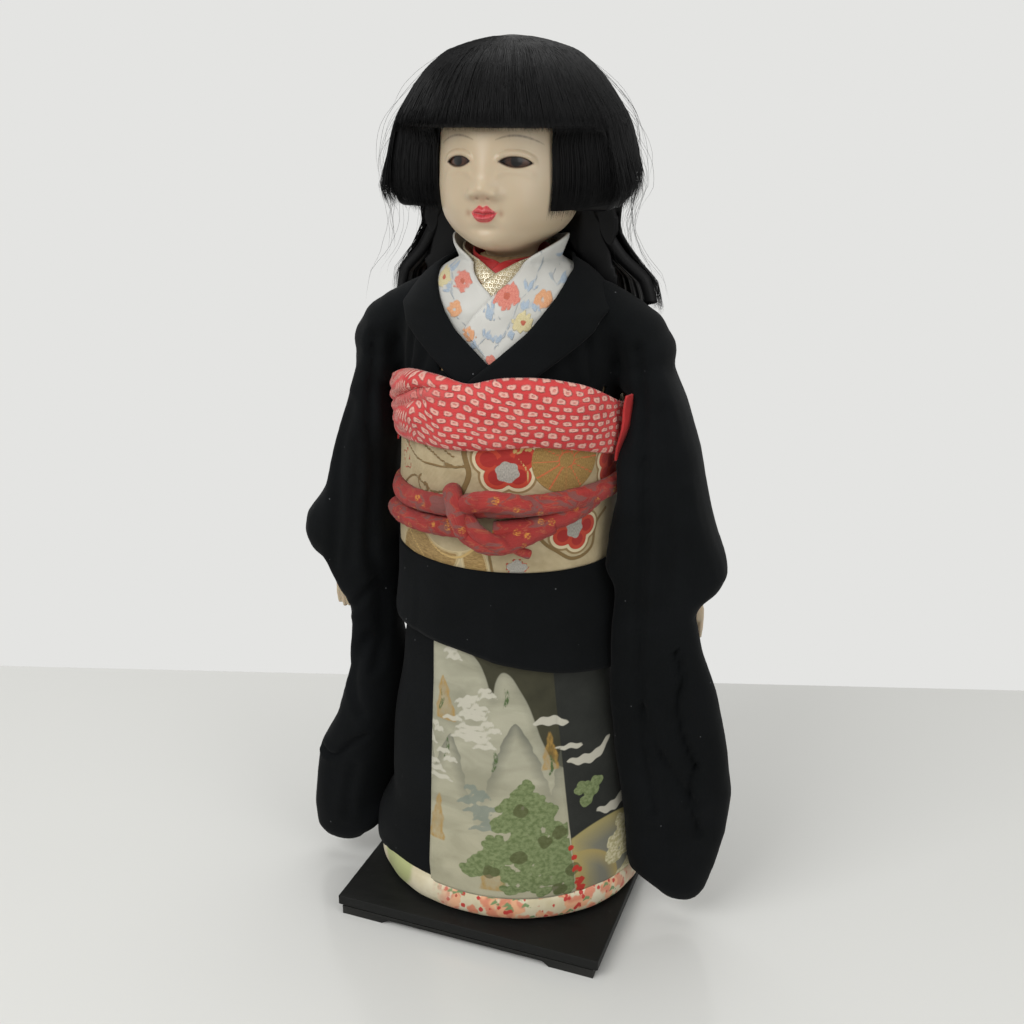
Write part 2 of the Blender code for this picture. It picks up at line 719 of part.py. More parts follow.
RED_COLLAR = (
    # inner edge as angle, height from the neck, offset; the outer edge; how fast it falls to the form
    (180, 5.0, 0.6, 180, -3.0, COLLAR_SEAT, 1.0),
    (150, 5.0, 0.6, 150, -3.0, COLLAR_SEAT, 1.0),
    (120, 4.5, 0.6, 120, -3.5, COLLAR_SEAT, 1.0),
    (90, 3.5, 0.6, 90, -4.0, COLLAR_SEAT, 1.0),
    (50, 1.3, 1.2, 56, -5.0, COLLAR_SEAT, 1.0),
    (17, 0.2, 4.6, 30, -6.5, COLLAR_SEAT, 1.2),
    (0, -1.6, 5.4, 8, -8.5, COLLAR_SEAT, 1.2),
    (-9, -5.4, 2.6, -4, -11.5, COLLAR_SEAT, 1.2),
)
GOLD_COLLAR = (
    (180, 6.0, 5.8, 180, -9.0, COLLAR_SEAT, 1.0),
    (150, 6.0, 5.8, 150, -9.0, COLLAR_SEAT, 1.0),
    (120, 6.0, 5.8, 120, -9.0, COLLAR_SEAT, 1.0),
    (90, 5.5, 5.6, 90, -9.0, COLLAR_SEAT, 1.0),
    (46, 2.5, 7.4, 52, -11.0, COLLAR_SEAT, 1.0),
    (19, -0.5, 10.2, 30, -14.0, COLLAR_SEAT, 1.0),
    (0, -5.5, 8.0, 12, -19.0, COLLAR_SEAT, 1.0),
    (-10, -11.5, 5.0, -2, -23.0, COLLAR_SEAT, 1.0),
)
WHITE_COLLAR = (
    (180, 6.0, 10.0, 180, -14.0, COLLAR_SEAT, 1.0),
    (150, 7.0, 10.0, 150, -14.0, COLLAR_SEAT, 1.0),
    (120, 9.0, 10.0, 120, -14.0, COLLAR_SEAT, 1.0),
    (90, 10.0, 10.2, 90, -14.0, COLLAR_SEAT, 1.0),
    (61, 7.5, 11.4, 58, -17.5, COLLAR_SEAT, 1.0),
    (29, 1.5, 13.6, 36, -27.0, COLLAR_SEAT, 1.6),
    (6, -11.0, 8.0, 22, -37.0, COLLAR_SEAT, 2.0),
    (-4, -19.0, 5.0, 10, -44.5, COLLAR_SEAT, 2.0),
    (-13, -30.5, 2.0, 2, -48.5, COLLAR_SEAT, 2.0),
)
BLACK_COLLAR = (
    (180, 0.5, 12.0, 180, -21.0, COLLAR_OVER, 1.4),
    (150, 0.5, 12.0, 150, -21.0, COLLAR_OVER, 1.4),
    (120, 0.5, 12.2, 120, -20.5, COLLAR_OVER, 1.4),
    (90, -1.0, 12.4, 90, -19.5, COLLAR_OVER, 1.4),
    (52, -8.0, 7.4, 64, -24.5, COLLAR_OVER, 1.2),
    (29, -19.5, 4.8, 48, -34.0, COLLAR_OVER, 1.0),
    (16, -31.5, 3.9, 31, -45.0, COLLAR_OVER, 1.0),
    (3, -43.5, COLLAR_OVER, 18, -54.0, COLLAR_OVER, 1.0),
    (-9, -54.0, COLLAR_OVER, 5, -59.5, COLLAR_OVER, 1.0),
)


def collar_station(row, side, thick, lift):
    """A collar's section on one side of the doll: its under side, then its face."""
    in_angle, in_height, in_off, out_angle, out_height, out_off, fall = row
    under, face = [], []
    for share in (0.0, 0.33, 0.67, 1.0):
        degrees, height = mix((in_angle, in_height), (out_angle, out_height), share)
        offset = out_off + (in_off - out_off) * (1.0 - share) ** fall
        rise = lift * math.cos(math.radians(min(90.0, abs(degrees) * 1.6)))
        angle = math.radians(side * degrees)
        level = NECK_HEIGHT + height
        under.append(around(angle, level, offset + rise))
        face.append(around(angle, level, offset + rise + thick))
    return under + face[::-1]


def in_between(rows):
    """The rows with one more station between each two, on a smooth curve."""
    found = []
    for i, row in enumerate(rows[:-1]):
        before, after = rows[max(i - 1, 0)], rows[i + 1]
        last = rows[min(i + 2, len(rows) - 1)]
        middle = []
        for p, q, r, s in zip(before, row, after, last):
            middle.append((-p + 9 * q + 9 * r - s) / 16)
        found += [row, tuple(middle)]
    return [*found, rows[-1]]


def make_collar(name, rows, thick, colour, roughness):
    rows = in_between(rows)
    under = [collar_station(row, -1, thick, 0.0) for row in reversed(rows)]
    over = [collar_station(row, 1, thick, thick + SEAT) for row in rows[1:]]
    collar = add_mesh(name, skin(under + over), FIGURE)
    return smooth(paint(collar, colour, roughness))


# Kimono


# Half of the V neckline, with heights from the neck, from its top down to just above the tip
NECKLINE = ((44.0, 25.0), (44.0, -13.0), (40.5, -18.0), (34.5, -28.0), (22.5, -39.5), (10.0, -50.0))
BODICE_TOP = NECK_HEIGHT - 16.0


def make_bodice():
    outline = layer(WAIST_HEIGHT, BODICE_TOP, SEAT, BODICE_OUT)
    bodice = wrap("kimono_bodice", lambda angle: outline, (0.012, 0.013, 0.017), 0.8)
    tip = (0.0, CHEST_HEIGHT - 1.0)
    half = [(x, NECK_HEIGHT + h) for x, h in NECKLINE]
    outline = [*half, tip, *[(-x, h) for x, h in reversed(half)]]
    neckline = side_to_side(outline, 70.0, -34.5)
    return cut(bodice, add_cutter("neckline", neckline, FIGURE))


def make_skirt():
    outline = layer(HEM_ROLL_HEIGHT + SEAT, GARMENT_TOP, SEAT, BODICE_OUT)
    return wrap("kimono_skirt", lambda angle: outline, (0.012, 0.013, 0.017), 0.8)


def make_front_panel():
    outline = layer(HEM_ROLL_HEIGHT + SEAT, GARMENT_TOP, BODICE_OUT + SEAT, PANEL_OUT)
    return wrap(
        "kimono_front_panel",
        lambda angle: outline,
        (0.45, 0.43, 0.35),
        0.75,
        PANEL_EDGE_ANGLE,
        PANEL_SIDE_ANGLE,
    )


def make_hem():
    low, high = SEAT, HEM_ROLL_HEIGHT
    out = PANEL_OUT + (HEM_ROLL - PANEL_OUT) * 0.5
    outline = [(SEAT, low + 2 * SEAT), (out, low), (HEM_ROLL, low + 4.0)]
    outline += [(HEM_ROLL, high - 5.0), (out, high), (SEAT, high)]
    return wrap("hem_lining", lambda angle: outline, (0.8, 0.72, 0.55), 0.7)


def fold_bottom(angle):
    """The tucked fold hangs lower toward the doll's left side."""
    share = (1.0 + math.sin(angle)) / 2
    drop = FOLD_DROP_RIGHT + (FOLD_DROP_LEFT - FOLD_DROP_RIGHT) * share**1.6
    return WAIST_HEIGHT - drop


def make_fold():
    def section(angle):
        low = fold_bottom(angle)
        middle = (low + GARMENT_TOP) / 2
        wave = 0.5 * math.sin(6 * angle)
        outer = FOLD_IN + FOLD_CLOTH
        return [
            (outer, GARMENT_TOP),
            (outer + FOLD_FLARE * 0.6 + wave, middle),
            (outer + FOLD_FLARE + wave, low + 2.0),
            (outer + FOLD_FLARE - 1.0 + wave, low),
            (FOLD_IN + FOLD_FLARE * 0.6, low),
            (FOLD_IN + FOLD_FLARE * 0.3, middle),
            (FOLD_IN, GARMENT_TOP),
        ]

    return wrap("kimono_fold", section, (0.012, 0.013, 0.017), 0.8)


# Obi and what holds it


def make_obi():
    outline = layer(WAIST_HEIGHT + SEAT, OBI_TOP, OBI_IN, OBI_OUT)
    return wrap("obi", lambda angle: outline, (0.62, 0.5, 0.33), 0.5)


def make_obiage():
    """The scarf over the obi's top edge: full in front, lower at the sides."""
    rest = OBI_OUT + SEAT

    def section(angle):
        sag = 7.0 * (1.0 - math.cos(angle) ** 2)
        top = OBIAGE_TOP - sag + 2.0 * math.cos(3 * angle)
        low = OBIAGE_BOTTOM - 1.1 * sag
        out = rest + OBIAGE_THICK * (1.0 - OBIAGE_THINNING * (1.0 - max(0.0, math.cos(angle))))
        fold = 0.6 * math.sin(5 * angle)
        return [
            (rest, low + 3.0),
            (rest + 1.5, low),
            (out - 0.8, low + 1.5),
            (out + fold, low + 8.0),
            (out + 0.4, (low + top) / 2),
            (out - fold, top - 8.0),
            (out - 1.6, top - 2.0),
            (rest + 1.0, top),
            (rest, top - 2.0),
            (rest, min(CHEST_HEIGHT, top - 3.0)),
        ]

    return wrap("obiage", section, (0.75, 0.12, 0.1), 0.7)


def cord_height(angle):
    """The main strand climbs toward the doll's left side."""
    return CORD_HEIGHT + 4.5 * (1.0 + math.sin(angle)) - 1.5


def cord_path(start, end, drop=0.0):
    """Points along the cord; a tail drops below the main strand as it leaves the knot."""
    points = []
    for angle in body_angles(start, end):
        ramp = min(1.0, abs(math.sin(angle)) * 3.0)
        points.append(around(angle, cord_height(angle) - drop * ramp, CORD_OFFSET))
    return points


def ring_bm(points, radius, sides=8):
    """A tube that closes on itself, with upright sections that face outward."""
    loops = []
    for point in points:
        outward = Vector((point[0], point[1], 0.0)).normalized()
        flat = 1.0 - CORD_FLATTEN * outward.x**4
        centre = Vector(point) - outward * CORD_RADIUS * (1.0 - flat)
        loop = []
        for k in range(sides):
            angle = math.tau * k / sides
            spoke = outward * math.cos(angle) * flat + Vector((0.0, 0.0, math.sin(angle)))
            loop.append(centre + spoke * radius)
        loops.append(loop)
    return skin(loops, around=True)


def make_obijime(obi_knot):
    points = cord_path(0.0, 360.0)
    cord = add_mesh("obijime", ring_bm(points, CORD_RADIUS), FIGURE)
    smooth(paint(cord, (0.55, 0.05, 0.04), 0.65))
    for name, start, end in CORD_TAILS:
        path = cord_path(start, end, TAIL_DROP)
        tail = tube(path, [TAIL_RADIUS] * len(path), sides=8)
        cut(cord, add_cutter(f"obijime_tail_{name}", tail, FIGURE), "UNION")
    centre = around(math.radians(CORD_KNOT_ANGLE), CORD_HEIGHT - 2.0, CORD_OFFSET + 2.0)
    cut(cord, add_cutter("obijime_knot", ellipsoid(centre, CORD_KNOT), FIGURE), "UNION")
    channel = ring_bm(points, CORD_RADIUS + 2 * SEAT)
    cut(obi_knot, add_cutter("cord_channel", channel, FIGURE))
    return cord


def make_obi_knot():
    """A plain drum knot at the back, with a rounded lower lip."""
    rest = OBI_OUT + SEAT
    over_scarf = rest + OBIAGE_THICK * (1.0 - OBIAGE_THINNING) + 1.0 + SEAT
    scarf_low = OBIAGE_BOTTOM - 8.0
    middle = (KNOT_BOTTOM + KNOT_TOP) / 2

    def section(angle):
        return [
            (rest, scarf_low - 3.0),
            (over_scarf, scarf_low),
            (over_scarf, KNOT_TOP - 8.0),
            (rest + KNOT_THICK * 0.35, KNOT_TOP - 2.0),
            (rest + KNOT_THICK * 0.6, KNOT_TOP),
            (rest + KNOT_THICK * 0.93, KNOT_TOP - 7.0),
            (rest + KNOT_THICK, middle + 8.0),
            (rest + KNOT_THICK, KNOT_BOTTOM + 10.0),
            (rest + KNOT_THICK * 0.8, KNOT_BOTTOM + 2.0),
            (rest + KNOT_THICK * 0.5, KNOT_BOTTOM),
            (rest, KNOT_BOTTOM + 4.0),
        ]

    start, end = 180.0 - KNOT_HALF_ANGLE, 180.0 + KNOT_HALF_ANGLE
    return wrap("obi_knot", section, (0.62, 0.5, 0.33), 0.5, start, end)


# Sleeves, as rows from the shoulder down to the rounded end of the bag

SLEEVE_LEFT = (
    # height, inner edge, outer edge, middle of depth, half depth
    (323.0, 0.0, 62.0, 2.0, 8.0),
    (315.0, 0.0, 70.5, 2.0, 17.0),
    (301.0, 0.0, 77.0, 2.0, 21.0),
    (289.0, 0.0, 82.0, 1.0, 23.0),
    (274.0, 61.5, 89.5, 0.0, 24.0),
    (252.0, 64.0, 97.5, -3.0, 24.0),
    (232.0, 63.0, 102.5, -6.0, 24.0),
    (208.0, 62.5, 109.0, -9.0, 23.0),
    (193.0, 63.5, 114.0, -11.0, 22.0),
    (183.0, 64.5, 115.5, -12.0, 21.0),
    (175.0, 65.0, 112.0, -13.0, 19.0),
    (169.0, 65.0, 105.0, -15.0, 17.0),
    (163.0, 65.0, 100.5, -19.0, 14.5),
    (150.0, 65.5, 106.0, -22.0, 12.5),
    (128.0, 67.0, 114.0, -22.5, 12.5),
    (95.0, 71.0, 121.5, -22.0, 13.5),
    (72.0, 75.5, 125.0, -22.0, 13.5),
    (48.0, 80.0, 123.5, -22.0, 12.5),
    (28.0, 81.5, 120.0, -22.5, 11.0),
    (13.0, 86.0, 115.5, -23.5, 9.0),
    (6.0, 91.0, 111.0, -24.0, 6.0),
    (3.0, 97.0, 105.5, -24.0, 2.5),
)
SLEEVE_RIGHT = (
    (323.0, 0.0, 61.0, 2.0, 8.0),
    (315.0, 0.0, 69.0, 2.0, 17.0),
    (301.0, 0.0, 75.5, 2.0, 21.0),
    (289.0, 0.0, 79.5, 2.0, 23.0),
    (274.0, 61.5, 84.5, 1.0, 24.0),
    (252.0, 63.0, 93.0, -1.0, 24.0),
    (232.0, 62.5, 100.5, -3.0, 24.0),
    (208.0, 62.5, 110.0, -6.0, 23.0),
    (193.0, 63.0, 115.5, -8.0, 22.0),
    (181.0, 63.5, 117.0, -9.0, 21.0),
    (172.0, 64.0, 113.5, -10.0, 19.0),
    (167.0, 64.0, 103.0, -12.0, 16.0),
    (162.0, 64.0, 86.5, -14.0, 14.0),
    (148.0, 64.5, 85.0, -15.0, 12.5),
    (120.0, 65.5, 88.5, -15.0, 12.5),
    (88.0, 69.0, 98.0, -14.5, 13.0),
    (65.0, 74.0, 109.0, -14.0, 13.0),
    (45.0, 78.0, 112.5, -14.0, 12.5),
    (25.0, 80.0, 115.5, -14.5, 11.5),
    (10.0, 83.0, 114.5, -15.5, 9.0),
    (4.0, 88.0, 109.5, -16.0, 5.5),
    (1.5, 94.0, 103.0, -16.0, 2.5),
)
SLEEVE_STEPS = 18


def girdle(height):
    """How far what is wound round the waist stands out at the doll's side."""
    if height > OBIAGE_TOP:
        return BODICE_OUT
    if height > OBIAGE_BOTTOM - 10.0:
        return OBI_OUT + SEAT + OBIAGE_THICK * (1.0 - OBIAGE_THINNING) + 0.6
    if height > WAIST_HEIGHT:
        return OBI_OUT + SEAT + 2 * CORD_RADIUS * (1.0 - CORD_FLATTEN)
    return PANEL_OUT


def side_clearance(height):
    return read_rows(FORM, height)[0] + girdle(height) + 2 * SEAT


def sleeve_ring(row, side):
    height, inner, outer, middle, depth = row
    inner = max(inner, side_clearance(height))
    half = (outer - inner) / 2
    ring = []
    for k in range(SLEEVE_STEPS):
        angle = math.tau * k / SLEEVE_STEPS
        across, deep = math.cos(angle), math.sin(angle)
        x = (inner + outer) / 2 + half * math.copysign(abs(across) ** 0.85, across)
        fold = 0.07 * depth * math.sin(3 * angle) * min(1.0, height / 60.0)
        y = middle + depth * math.copysign(abs(deep) ** 0.85, deep) + fold
        ring.append((side * x, y, height))
    return ring


def make_sleeve(name, rows, side):
    sleeve = add_mesh(name, skin([sleeve_ring(row, side) for row in rows]), FIGURE)
    return smooth(paint(sleeve, (0.012, 0.013, 0.017), 0.8), 50.0)


STRIP_ANGLES = (71.0, 74.0)
STRIP_ROWS = (
    # height, width of the strip away from the obi
    (OBIAGE_TOP - 9.0, 3.4),
    (OBIAGE_BOTTOM, 3.0),
    (OBIAGE_BOTTOM - 11.0, 2.6),
)


def make_sleeve_lining(name, side):
    """The strip of red lining that shows between the obi and the sleeve."""
    loops = []
    for height, width in STRIP_ROWS:
        close = girdle(height) + 0.8
        front, back = STRIP_ANGLES
        corners = ((back, close), (back, close + width), (front, close + width), (front, close))
        loops.append([around(math.radians(side * a), height, out) for a, out in corners])
    lining = add_mesh(name, skin(loops), FIGURE)
    return paint(lining, (0.7, 0.03, 0.03), 0.6)


def main():
    board = make_board()
    rail_y = STAND_SIDE / 2 - RAIL_DEPTH / 2
    make_rail("stand_rail_front", -rail_y)
    make_rail("stand_rail_back", rail_y)
    hole_left = make_pin("foot_pin_left", 1, board)
    hole_right = make_pin("foot_pin_right", -1, board)

    torso = make_torso()
    under_robe = make_under_robe()
    make_leg("leg_left", 1, hole_left, under_robe)
    make_leg("leg_right", -1, hole_right, under_robe)

    head = make_head()
    make_eye("eye_left", 1, head)
    make_eye("eye_right", -1, head)
    make_wig()

    make_collar("collar_red", RED_COLLAR, COLLAR_THIN, (0.7, 0.05, 0.04), 0.6)
    make_collar("collar_gold", GOLD_COLLAR, COLLAR_THIN, (0.66, 0.55, 0.36), 0.45)
    make_collar("collar_white", WHITE_COLLAR, COLLAR_THIN, (0.85, 0.85, 0.86), 0.5)
    make_collar("kimono_collar", BLACK_COLLAR, COLLAR_THICK, (0.012, 0.013, 0.017), 0.8)

    bodice = make_bodice()
    make_skirt()
    make_front_panel()
    make_hem()
    make_fold()
    sleeve_left = make_sleeve("kimono_sleeve_left", SLEEVE_LEFT, 1)
    sleeve_right = make_sleeve("kimono_sleeve_right", SLEEVE_RIGHT, -1)
    make_sleeve_lining("sleeve_lining_left", 1)
    make_sleeve_lining("sleeve_lining_right", -1)
    make_arm("arm_left", 1, torso, bodice, sleeve_left)
    make_arm("arm_right", -1, torso, bodice, sleeve_right)
    make_hand("hand_left", 1)
    make_hand("hand_right", -1)

    make_obi()
    make_obiage()
    make_obijime(make_obi_knot())


main()
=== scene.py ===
"""The looks of an ichimatsu doll: cloth, brocade, painted silk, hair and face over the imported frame.

Lengths are in millimetres until a mesh is made. The doll's own heights are measured from the top
of its stand, and its face's heights from its chin. It faces -Y and its left hand is on +X.
"""

import math
import random

import bmesh
import bpy
import numpy as np
from mathutils import Matrix, Vector
from mathutils.bvhtree import BVHTree


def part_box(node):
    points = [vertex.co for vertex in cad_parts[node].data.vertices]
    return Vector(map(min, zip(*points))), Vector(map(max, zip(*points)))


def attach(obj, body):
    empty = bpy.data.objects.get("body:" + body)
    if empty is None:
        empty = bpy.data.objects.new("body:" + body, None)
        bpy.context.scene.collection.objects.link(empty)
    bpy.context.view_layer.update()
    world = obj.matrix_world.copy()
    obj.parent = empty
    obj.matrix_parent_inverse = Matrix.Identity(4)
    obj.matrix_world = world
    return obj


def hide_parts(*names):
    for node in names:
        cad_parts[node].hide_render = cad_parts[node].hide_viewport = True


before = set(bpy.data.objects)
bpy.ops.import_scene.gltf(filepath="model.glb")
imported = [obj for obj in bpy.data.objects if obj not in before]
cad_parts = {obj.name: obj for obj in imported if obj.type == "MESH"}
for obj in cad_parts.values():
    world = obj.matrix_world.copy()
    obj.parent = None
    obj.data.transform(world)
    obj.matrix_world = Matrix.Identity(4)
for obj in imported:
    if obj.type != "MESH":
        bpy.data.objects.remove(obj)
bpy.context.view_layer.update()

MM = 0.001
TAU = math.tau


def box_mm(node):
    low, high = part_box(node)
    return low / MM, high / MM


# Driving places, read from the frame
STAND_TOP = box_mm("stand_board")[1].z
TORSO_LOW, TORSO_HIGH = box_mm("torso")
CENTRE_X = (TORSO_LOW.x + TORSO_HIGH.x) / 2
WAIST = TORSO_LOW.z - STAND_TOP
HEAD_TURN = math.radians(-3.0)
HEAD_HEIGHT = 86.5
CHIN = box_mm("head")[1].z - HEAD_HEIGHT

# How far the layers of cloth stand out from the padded body
CLOTH = 2.3
PANEL_OUT = 4.4
FOLD_OUT = 7.0
OBI_OUT = 7.5
OBI_LOW, OBI_HIGH = WAIST + 0.3, 284.0
RIGHT_WIDER = 4.0  # how much farther the sash's lower edge stands out at the doll's right
GIRTH = 56.0  # millimetres of cloth for one radian round the body


# Meshes


def to_world(points, frame_of="figure"):
    """Points in millimetres, in the doll's own frame or its head's, as world metres."""
    points = np.asarray(points, float).reshape(-1, 3)
    if frame_of == "head":
        c, s = math.cos(HEAD_TURN), math.sin(HEAD_TURN)
        x = points[:, 0] * c - points[:, 1] * s
        y = points[:, 0] * s + points[:, 1] * c
        points = np.stack([x, y, points[:, 2]], 1)
        lift = CHIN
    else:
        lift = STAND_TOP
    return (points + np.array([CENTRE_X, 0.0, lift])) * MM


def write_uv(mesh, uv):
    """Cloth coordinates, one pair in millimetres for each point."""
    uv = np.asarray(uv, np.float32).reshape(-1, 2)
    layer = mesh.uv_layers.new(name="cloth")
    index = np.empty(len(mesh.loops), np.int32)
    mesh.loops.foreach_get("vertex_index", index)
    layer.data.foreach_set("uv", uv[index].ravel())


def write_values(mesh, values):
    """Named numbers for each point, which the materials read."""
    for key, column in values.items():
        data = mesh.attributes.new(key, "FLOAT", "POINT").data
        data.foreach_set("value", np.asarray(column, np.float32).ravel())


def new_object(name, points, faces, frame_of="figure", uv=None, values=None):
    """A mesh piece; uv holds one pair per point, and values are named numbers per point."""
    mesh = bpy.data.meshes.new(name)
    mesh.from_pydata(to_world(points, frame_of).tolist(), [], [list(f) for f in faces])
    if uv is not None:
        write_uv(mesh, uv)
    write_values(mesh, values or {})
    mesh.shade_smooth()
    obj = bpy.data.objects.new(name, mesh)
    bpy.context.scene.collection.objects.link(obj)
    return obj


def grid_faces(rows, columns, around=False):
    """Quads over a grid of points, stored row by row; around joins the last row to the first."""
    faces = []
    for i in range(rows if around else rows - 1):
        j = (i + 1) % rows
        for k in range(columns - 1):
            faces.append((i * columns + k, j * columns + k, j * columns + k + 1, i * columns + k + 1))
    return faces


def solidify(obj, thick, offset=-1.0):
    modifier = obj.modifiers.new("thickness", "SOLIDIFY")
    modifier.thickness = thick * MM
    modifier.offset = offset
    modifier.use_even_offset = False


def cloth_piece(name, points, faces, thick, material, node, **kind):
    """A thin piece with its material, which stands for a CAD node."""
    obj = new_object(name, points, faces, **kind)
    solidify(obj, thick)
    wear(obj, material)
    return place(obj, node)


def place(obj, *nodes, slot=None):
    """Makes a piece ride on the doll and hides the CAD nodes that it stands for; slot is not used."""
    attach(obj, "root")
    if nodes:
        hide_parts(*nodes)
    return obj


# Noise and profiles on arrays


def signed_turn(a):
    return np.where(a > math.pi, a - TAU, a)


def smoothstep(low, high, x):
    """0 below low and 1 above high, with a smooth rise between; low may be the larger."""
    t = np.clip((x - low) / (high - low), 0.0, 1.0)
    return t * t * (3.0 - 2.0 * t)


def bump_at(x, centre, width):
    """A smooth hump, 1 at its centre."""
    return np.exp(-(((x - centre) / width) ** 2))


def wave_noise(seed, *coords):
    """Smooth noise between about -1 and 1, as a sum of a few turned waves."""
    rng = random.Random(seed)
    total = 0.0
    for _ in range(6):
        phase = rng.uniform(0, TAU)
        mixed = phase
        for c in coords:
            mixed = mixed + c * rng.uniform(-1.6, 1.6)
        total = total + np.sin(mixed)
    return total / 3.5


# The padded body, measured on the frame


def tree_of(node):
    """A CAD node's surface, ready for rays."""
    bm = bmesh.new()
    bm.from_mesh(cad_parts[node].data)
    tree = BVHTree.FromBMesh(bm)
    bm.free()
    return tree


def reach(tree, origin, direction):
    """The point where a ray meets a node, in millimetres, or None."""
    hit = tree.ray_cast(Vector(origin) * MM, Vector(direction))[0]
    return None if hit is None else hit / MM


def measure_form():
    """Rows of height, half width, front depth and back depth of the padded body."""
    body = {node: tree_of(node) for node in ("torso", "under_robe")}
    side = math.radians(67.5)
    rows = []
    for h in [2.0 * k for k in range(1, 173)]:
        tree = body["torso" if h > WAIST else "under_robe"]
        z = h + STAND_TOP
        front = reach(tree, (CENTRE_X, -200, z), (0, 1, 0))
        back = reach(tree, (CENTRE_X, 200, z), (0, -1, 0))
        if front is None or back is None:
            continue
        wide = reach(tree, (200, front.y * math.cos(side), z), (-1, 0, 0))
        if wide is None:
            continue
        rows.append((h, (wide.x - CENTRE_X) / math.sin(side), -front.y, back.y))
    return np.array(rows)


FORM = measure_form()


def sizes_at(form, h):
    """Half width, front depth and back depth of a form at a height."""
    return [np.interp(h, form[:, 0], form[:, k]) for k in (1, 2, 3)]


def surface_of(form, angle, h, offset):
    half, front, back = sizes_at(form, h)
    depth = np.where(np.cos(angle) > 0, front, back)
    return (half + offset) * np.sin(angle), -(depth + offset) * np.cos(angle)


def around(angle, height, offset):
    """Points outside the padded body, at an angle from the front toward the doll's left."""
    angle, height, offset = np.broadcast_arrays(angle, height, offset)
    return np.stack([*surface_of(FORM, angle, height, offset), height], -1)


def arc_length(points):
    """Running length along the last but one axis of an array of points."""
    step = np.linalg.norm(np.diff(points, axis=-2), axis=-1)
    zero = np.zeros(step.shape[:-1] + (1,))
    return np.concatenate([zero, np.cumsum(step, -1)], -1)


# Signed distances for painted, woven and stitched shapes: negative inside, in millimetres


def d_circle(u, v, x, y, r):
    """Distance to a circle."""
    return np.hypot(u - x, v - y) - r


def d_ellipse(u, v, x, y, rx, ry, turn=0.0):
    c, s = math.cos(turn), math.sin(turn)
    a = (u - x) * c + (v - y) * s
    b = -(u - x) * s + (v - y) * c
    k = np.hypot(a / rx, b / ry)
    return (k - 1.0) * min(rx, ry)


def d_line(u, v, points, width, taper=0.0):
    """A stroke along a polyline; taper thins it toward its ends."""
    best = np.full(np.shape(u), 1e3)
    count = len(points) - 1
    for i, ((x0, y0), (x1, y1)) in enumerate(zip(points, points[1:])):
        dx, dy = x1 - x0, y1 - y0
        t = np.clip(((u - x0) * dx + (v - y0) * dy) / (dx * dx + dy * dy), 0.0, 1.0)
        along = (i + t) / count
        half = width / 2 * (1.0 - taper * np.abs(2 * along - 1.0) ** 2)
        best = np.minimum(best, np.hypot(u - x0 - t * dx, v - y0 - t * dy) - half)
    return best


def d_polygon(u, v, points):
    best = np.full(np.shape(u), 1e9)
    inside = np.zeros(np.shape(u), bool)
    for (x0, y0), (x1, y1) in zip(points, points[1:] + points[:1]):
        dx, dy = x1 - x0, y1 - y0
        t = np.clip(((u - x0) * dx + (v - y0) * dy) / (dx * dx + dy * dy), 0.0, 1.0)
        best = np.minimum(best, np.hypot(u - x0 - t * dx, v - y0 - t * dy))
        crosses = (y0 > v) != (y1 > v)
        with np.errstate(divide="ignore", invalid="ignore"):
            inside ^= crosses & (u < (x1 - x0) * (v - y0) / (y1 - y0) + x0)
    return np.where(inside, -best, best)


def d_flower(u, v, x, y, r, petals=5, turn=0.0, notch=0.0):
    """A blossom of round petals, each with a small notch if asked."""
    best = d_circle(u, v, x, y, r * 0.45)
    for k in range(petals):
        a = turn + TAU * k / petals
        cx, cy = x + math.cos(a) * r * 0.58, y + math.sin(a) * r * 0.58
        petal = d_circle(u, v, cx, cy, r * 0.42 * (5 / petals) ** 0.4)
        if notch:
            tip = (x + math.cos(a) * r * 1.02, y + math.sin(a) * r * 1.02)
            petal = np.maximum(petal, -d_circle(u, v, *tip, notch * r))
        best = np.minimum(best, petal)
    return best


def union(*distances):
    return np.minimum.reduce(distances)


def spline(points, steps=8):
    """More points through the given ones, on a smooth curve."""
    points = [np.array(p, float) for p in points]
    found = []
    for i in range(len(points) - 1):
        p0 = points[max(i - 1, 0)]
        p1, p2 = points[i], points[i + 1]
        p3 = points[min(i + 2, len(points) - 1)]
        for k in range(steps):
            t = k / steps
            found.append(
                0.5
                * (
                    2 * p1
                    + (p2 - p0) * t
                    + (2 * p0 - 5 * p1 + 4 * p2 - p3) * t**2
                    + (3 * p1 - p0 - 3 * p2 + p3) * t**3
                )
            )
    return [*found, points[-1]]


# Materials


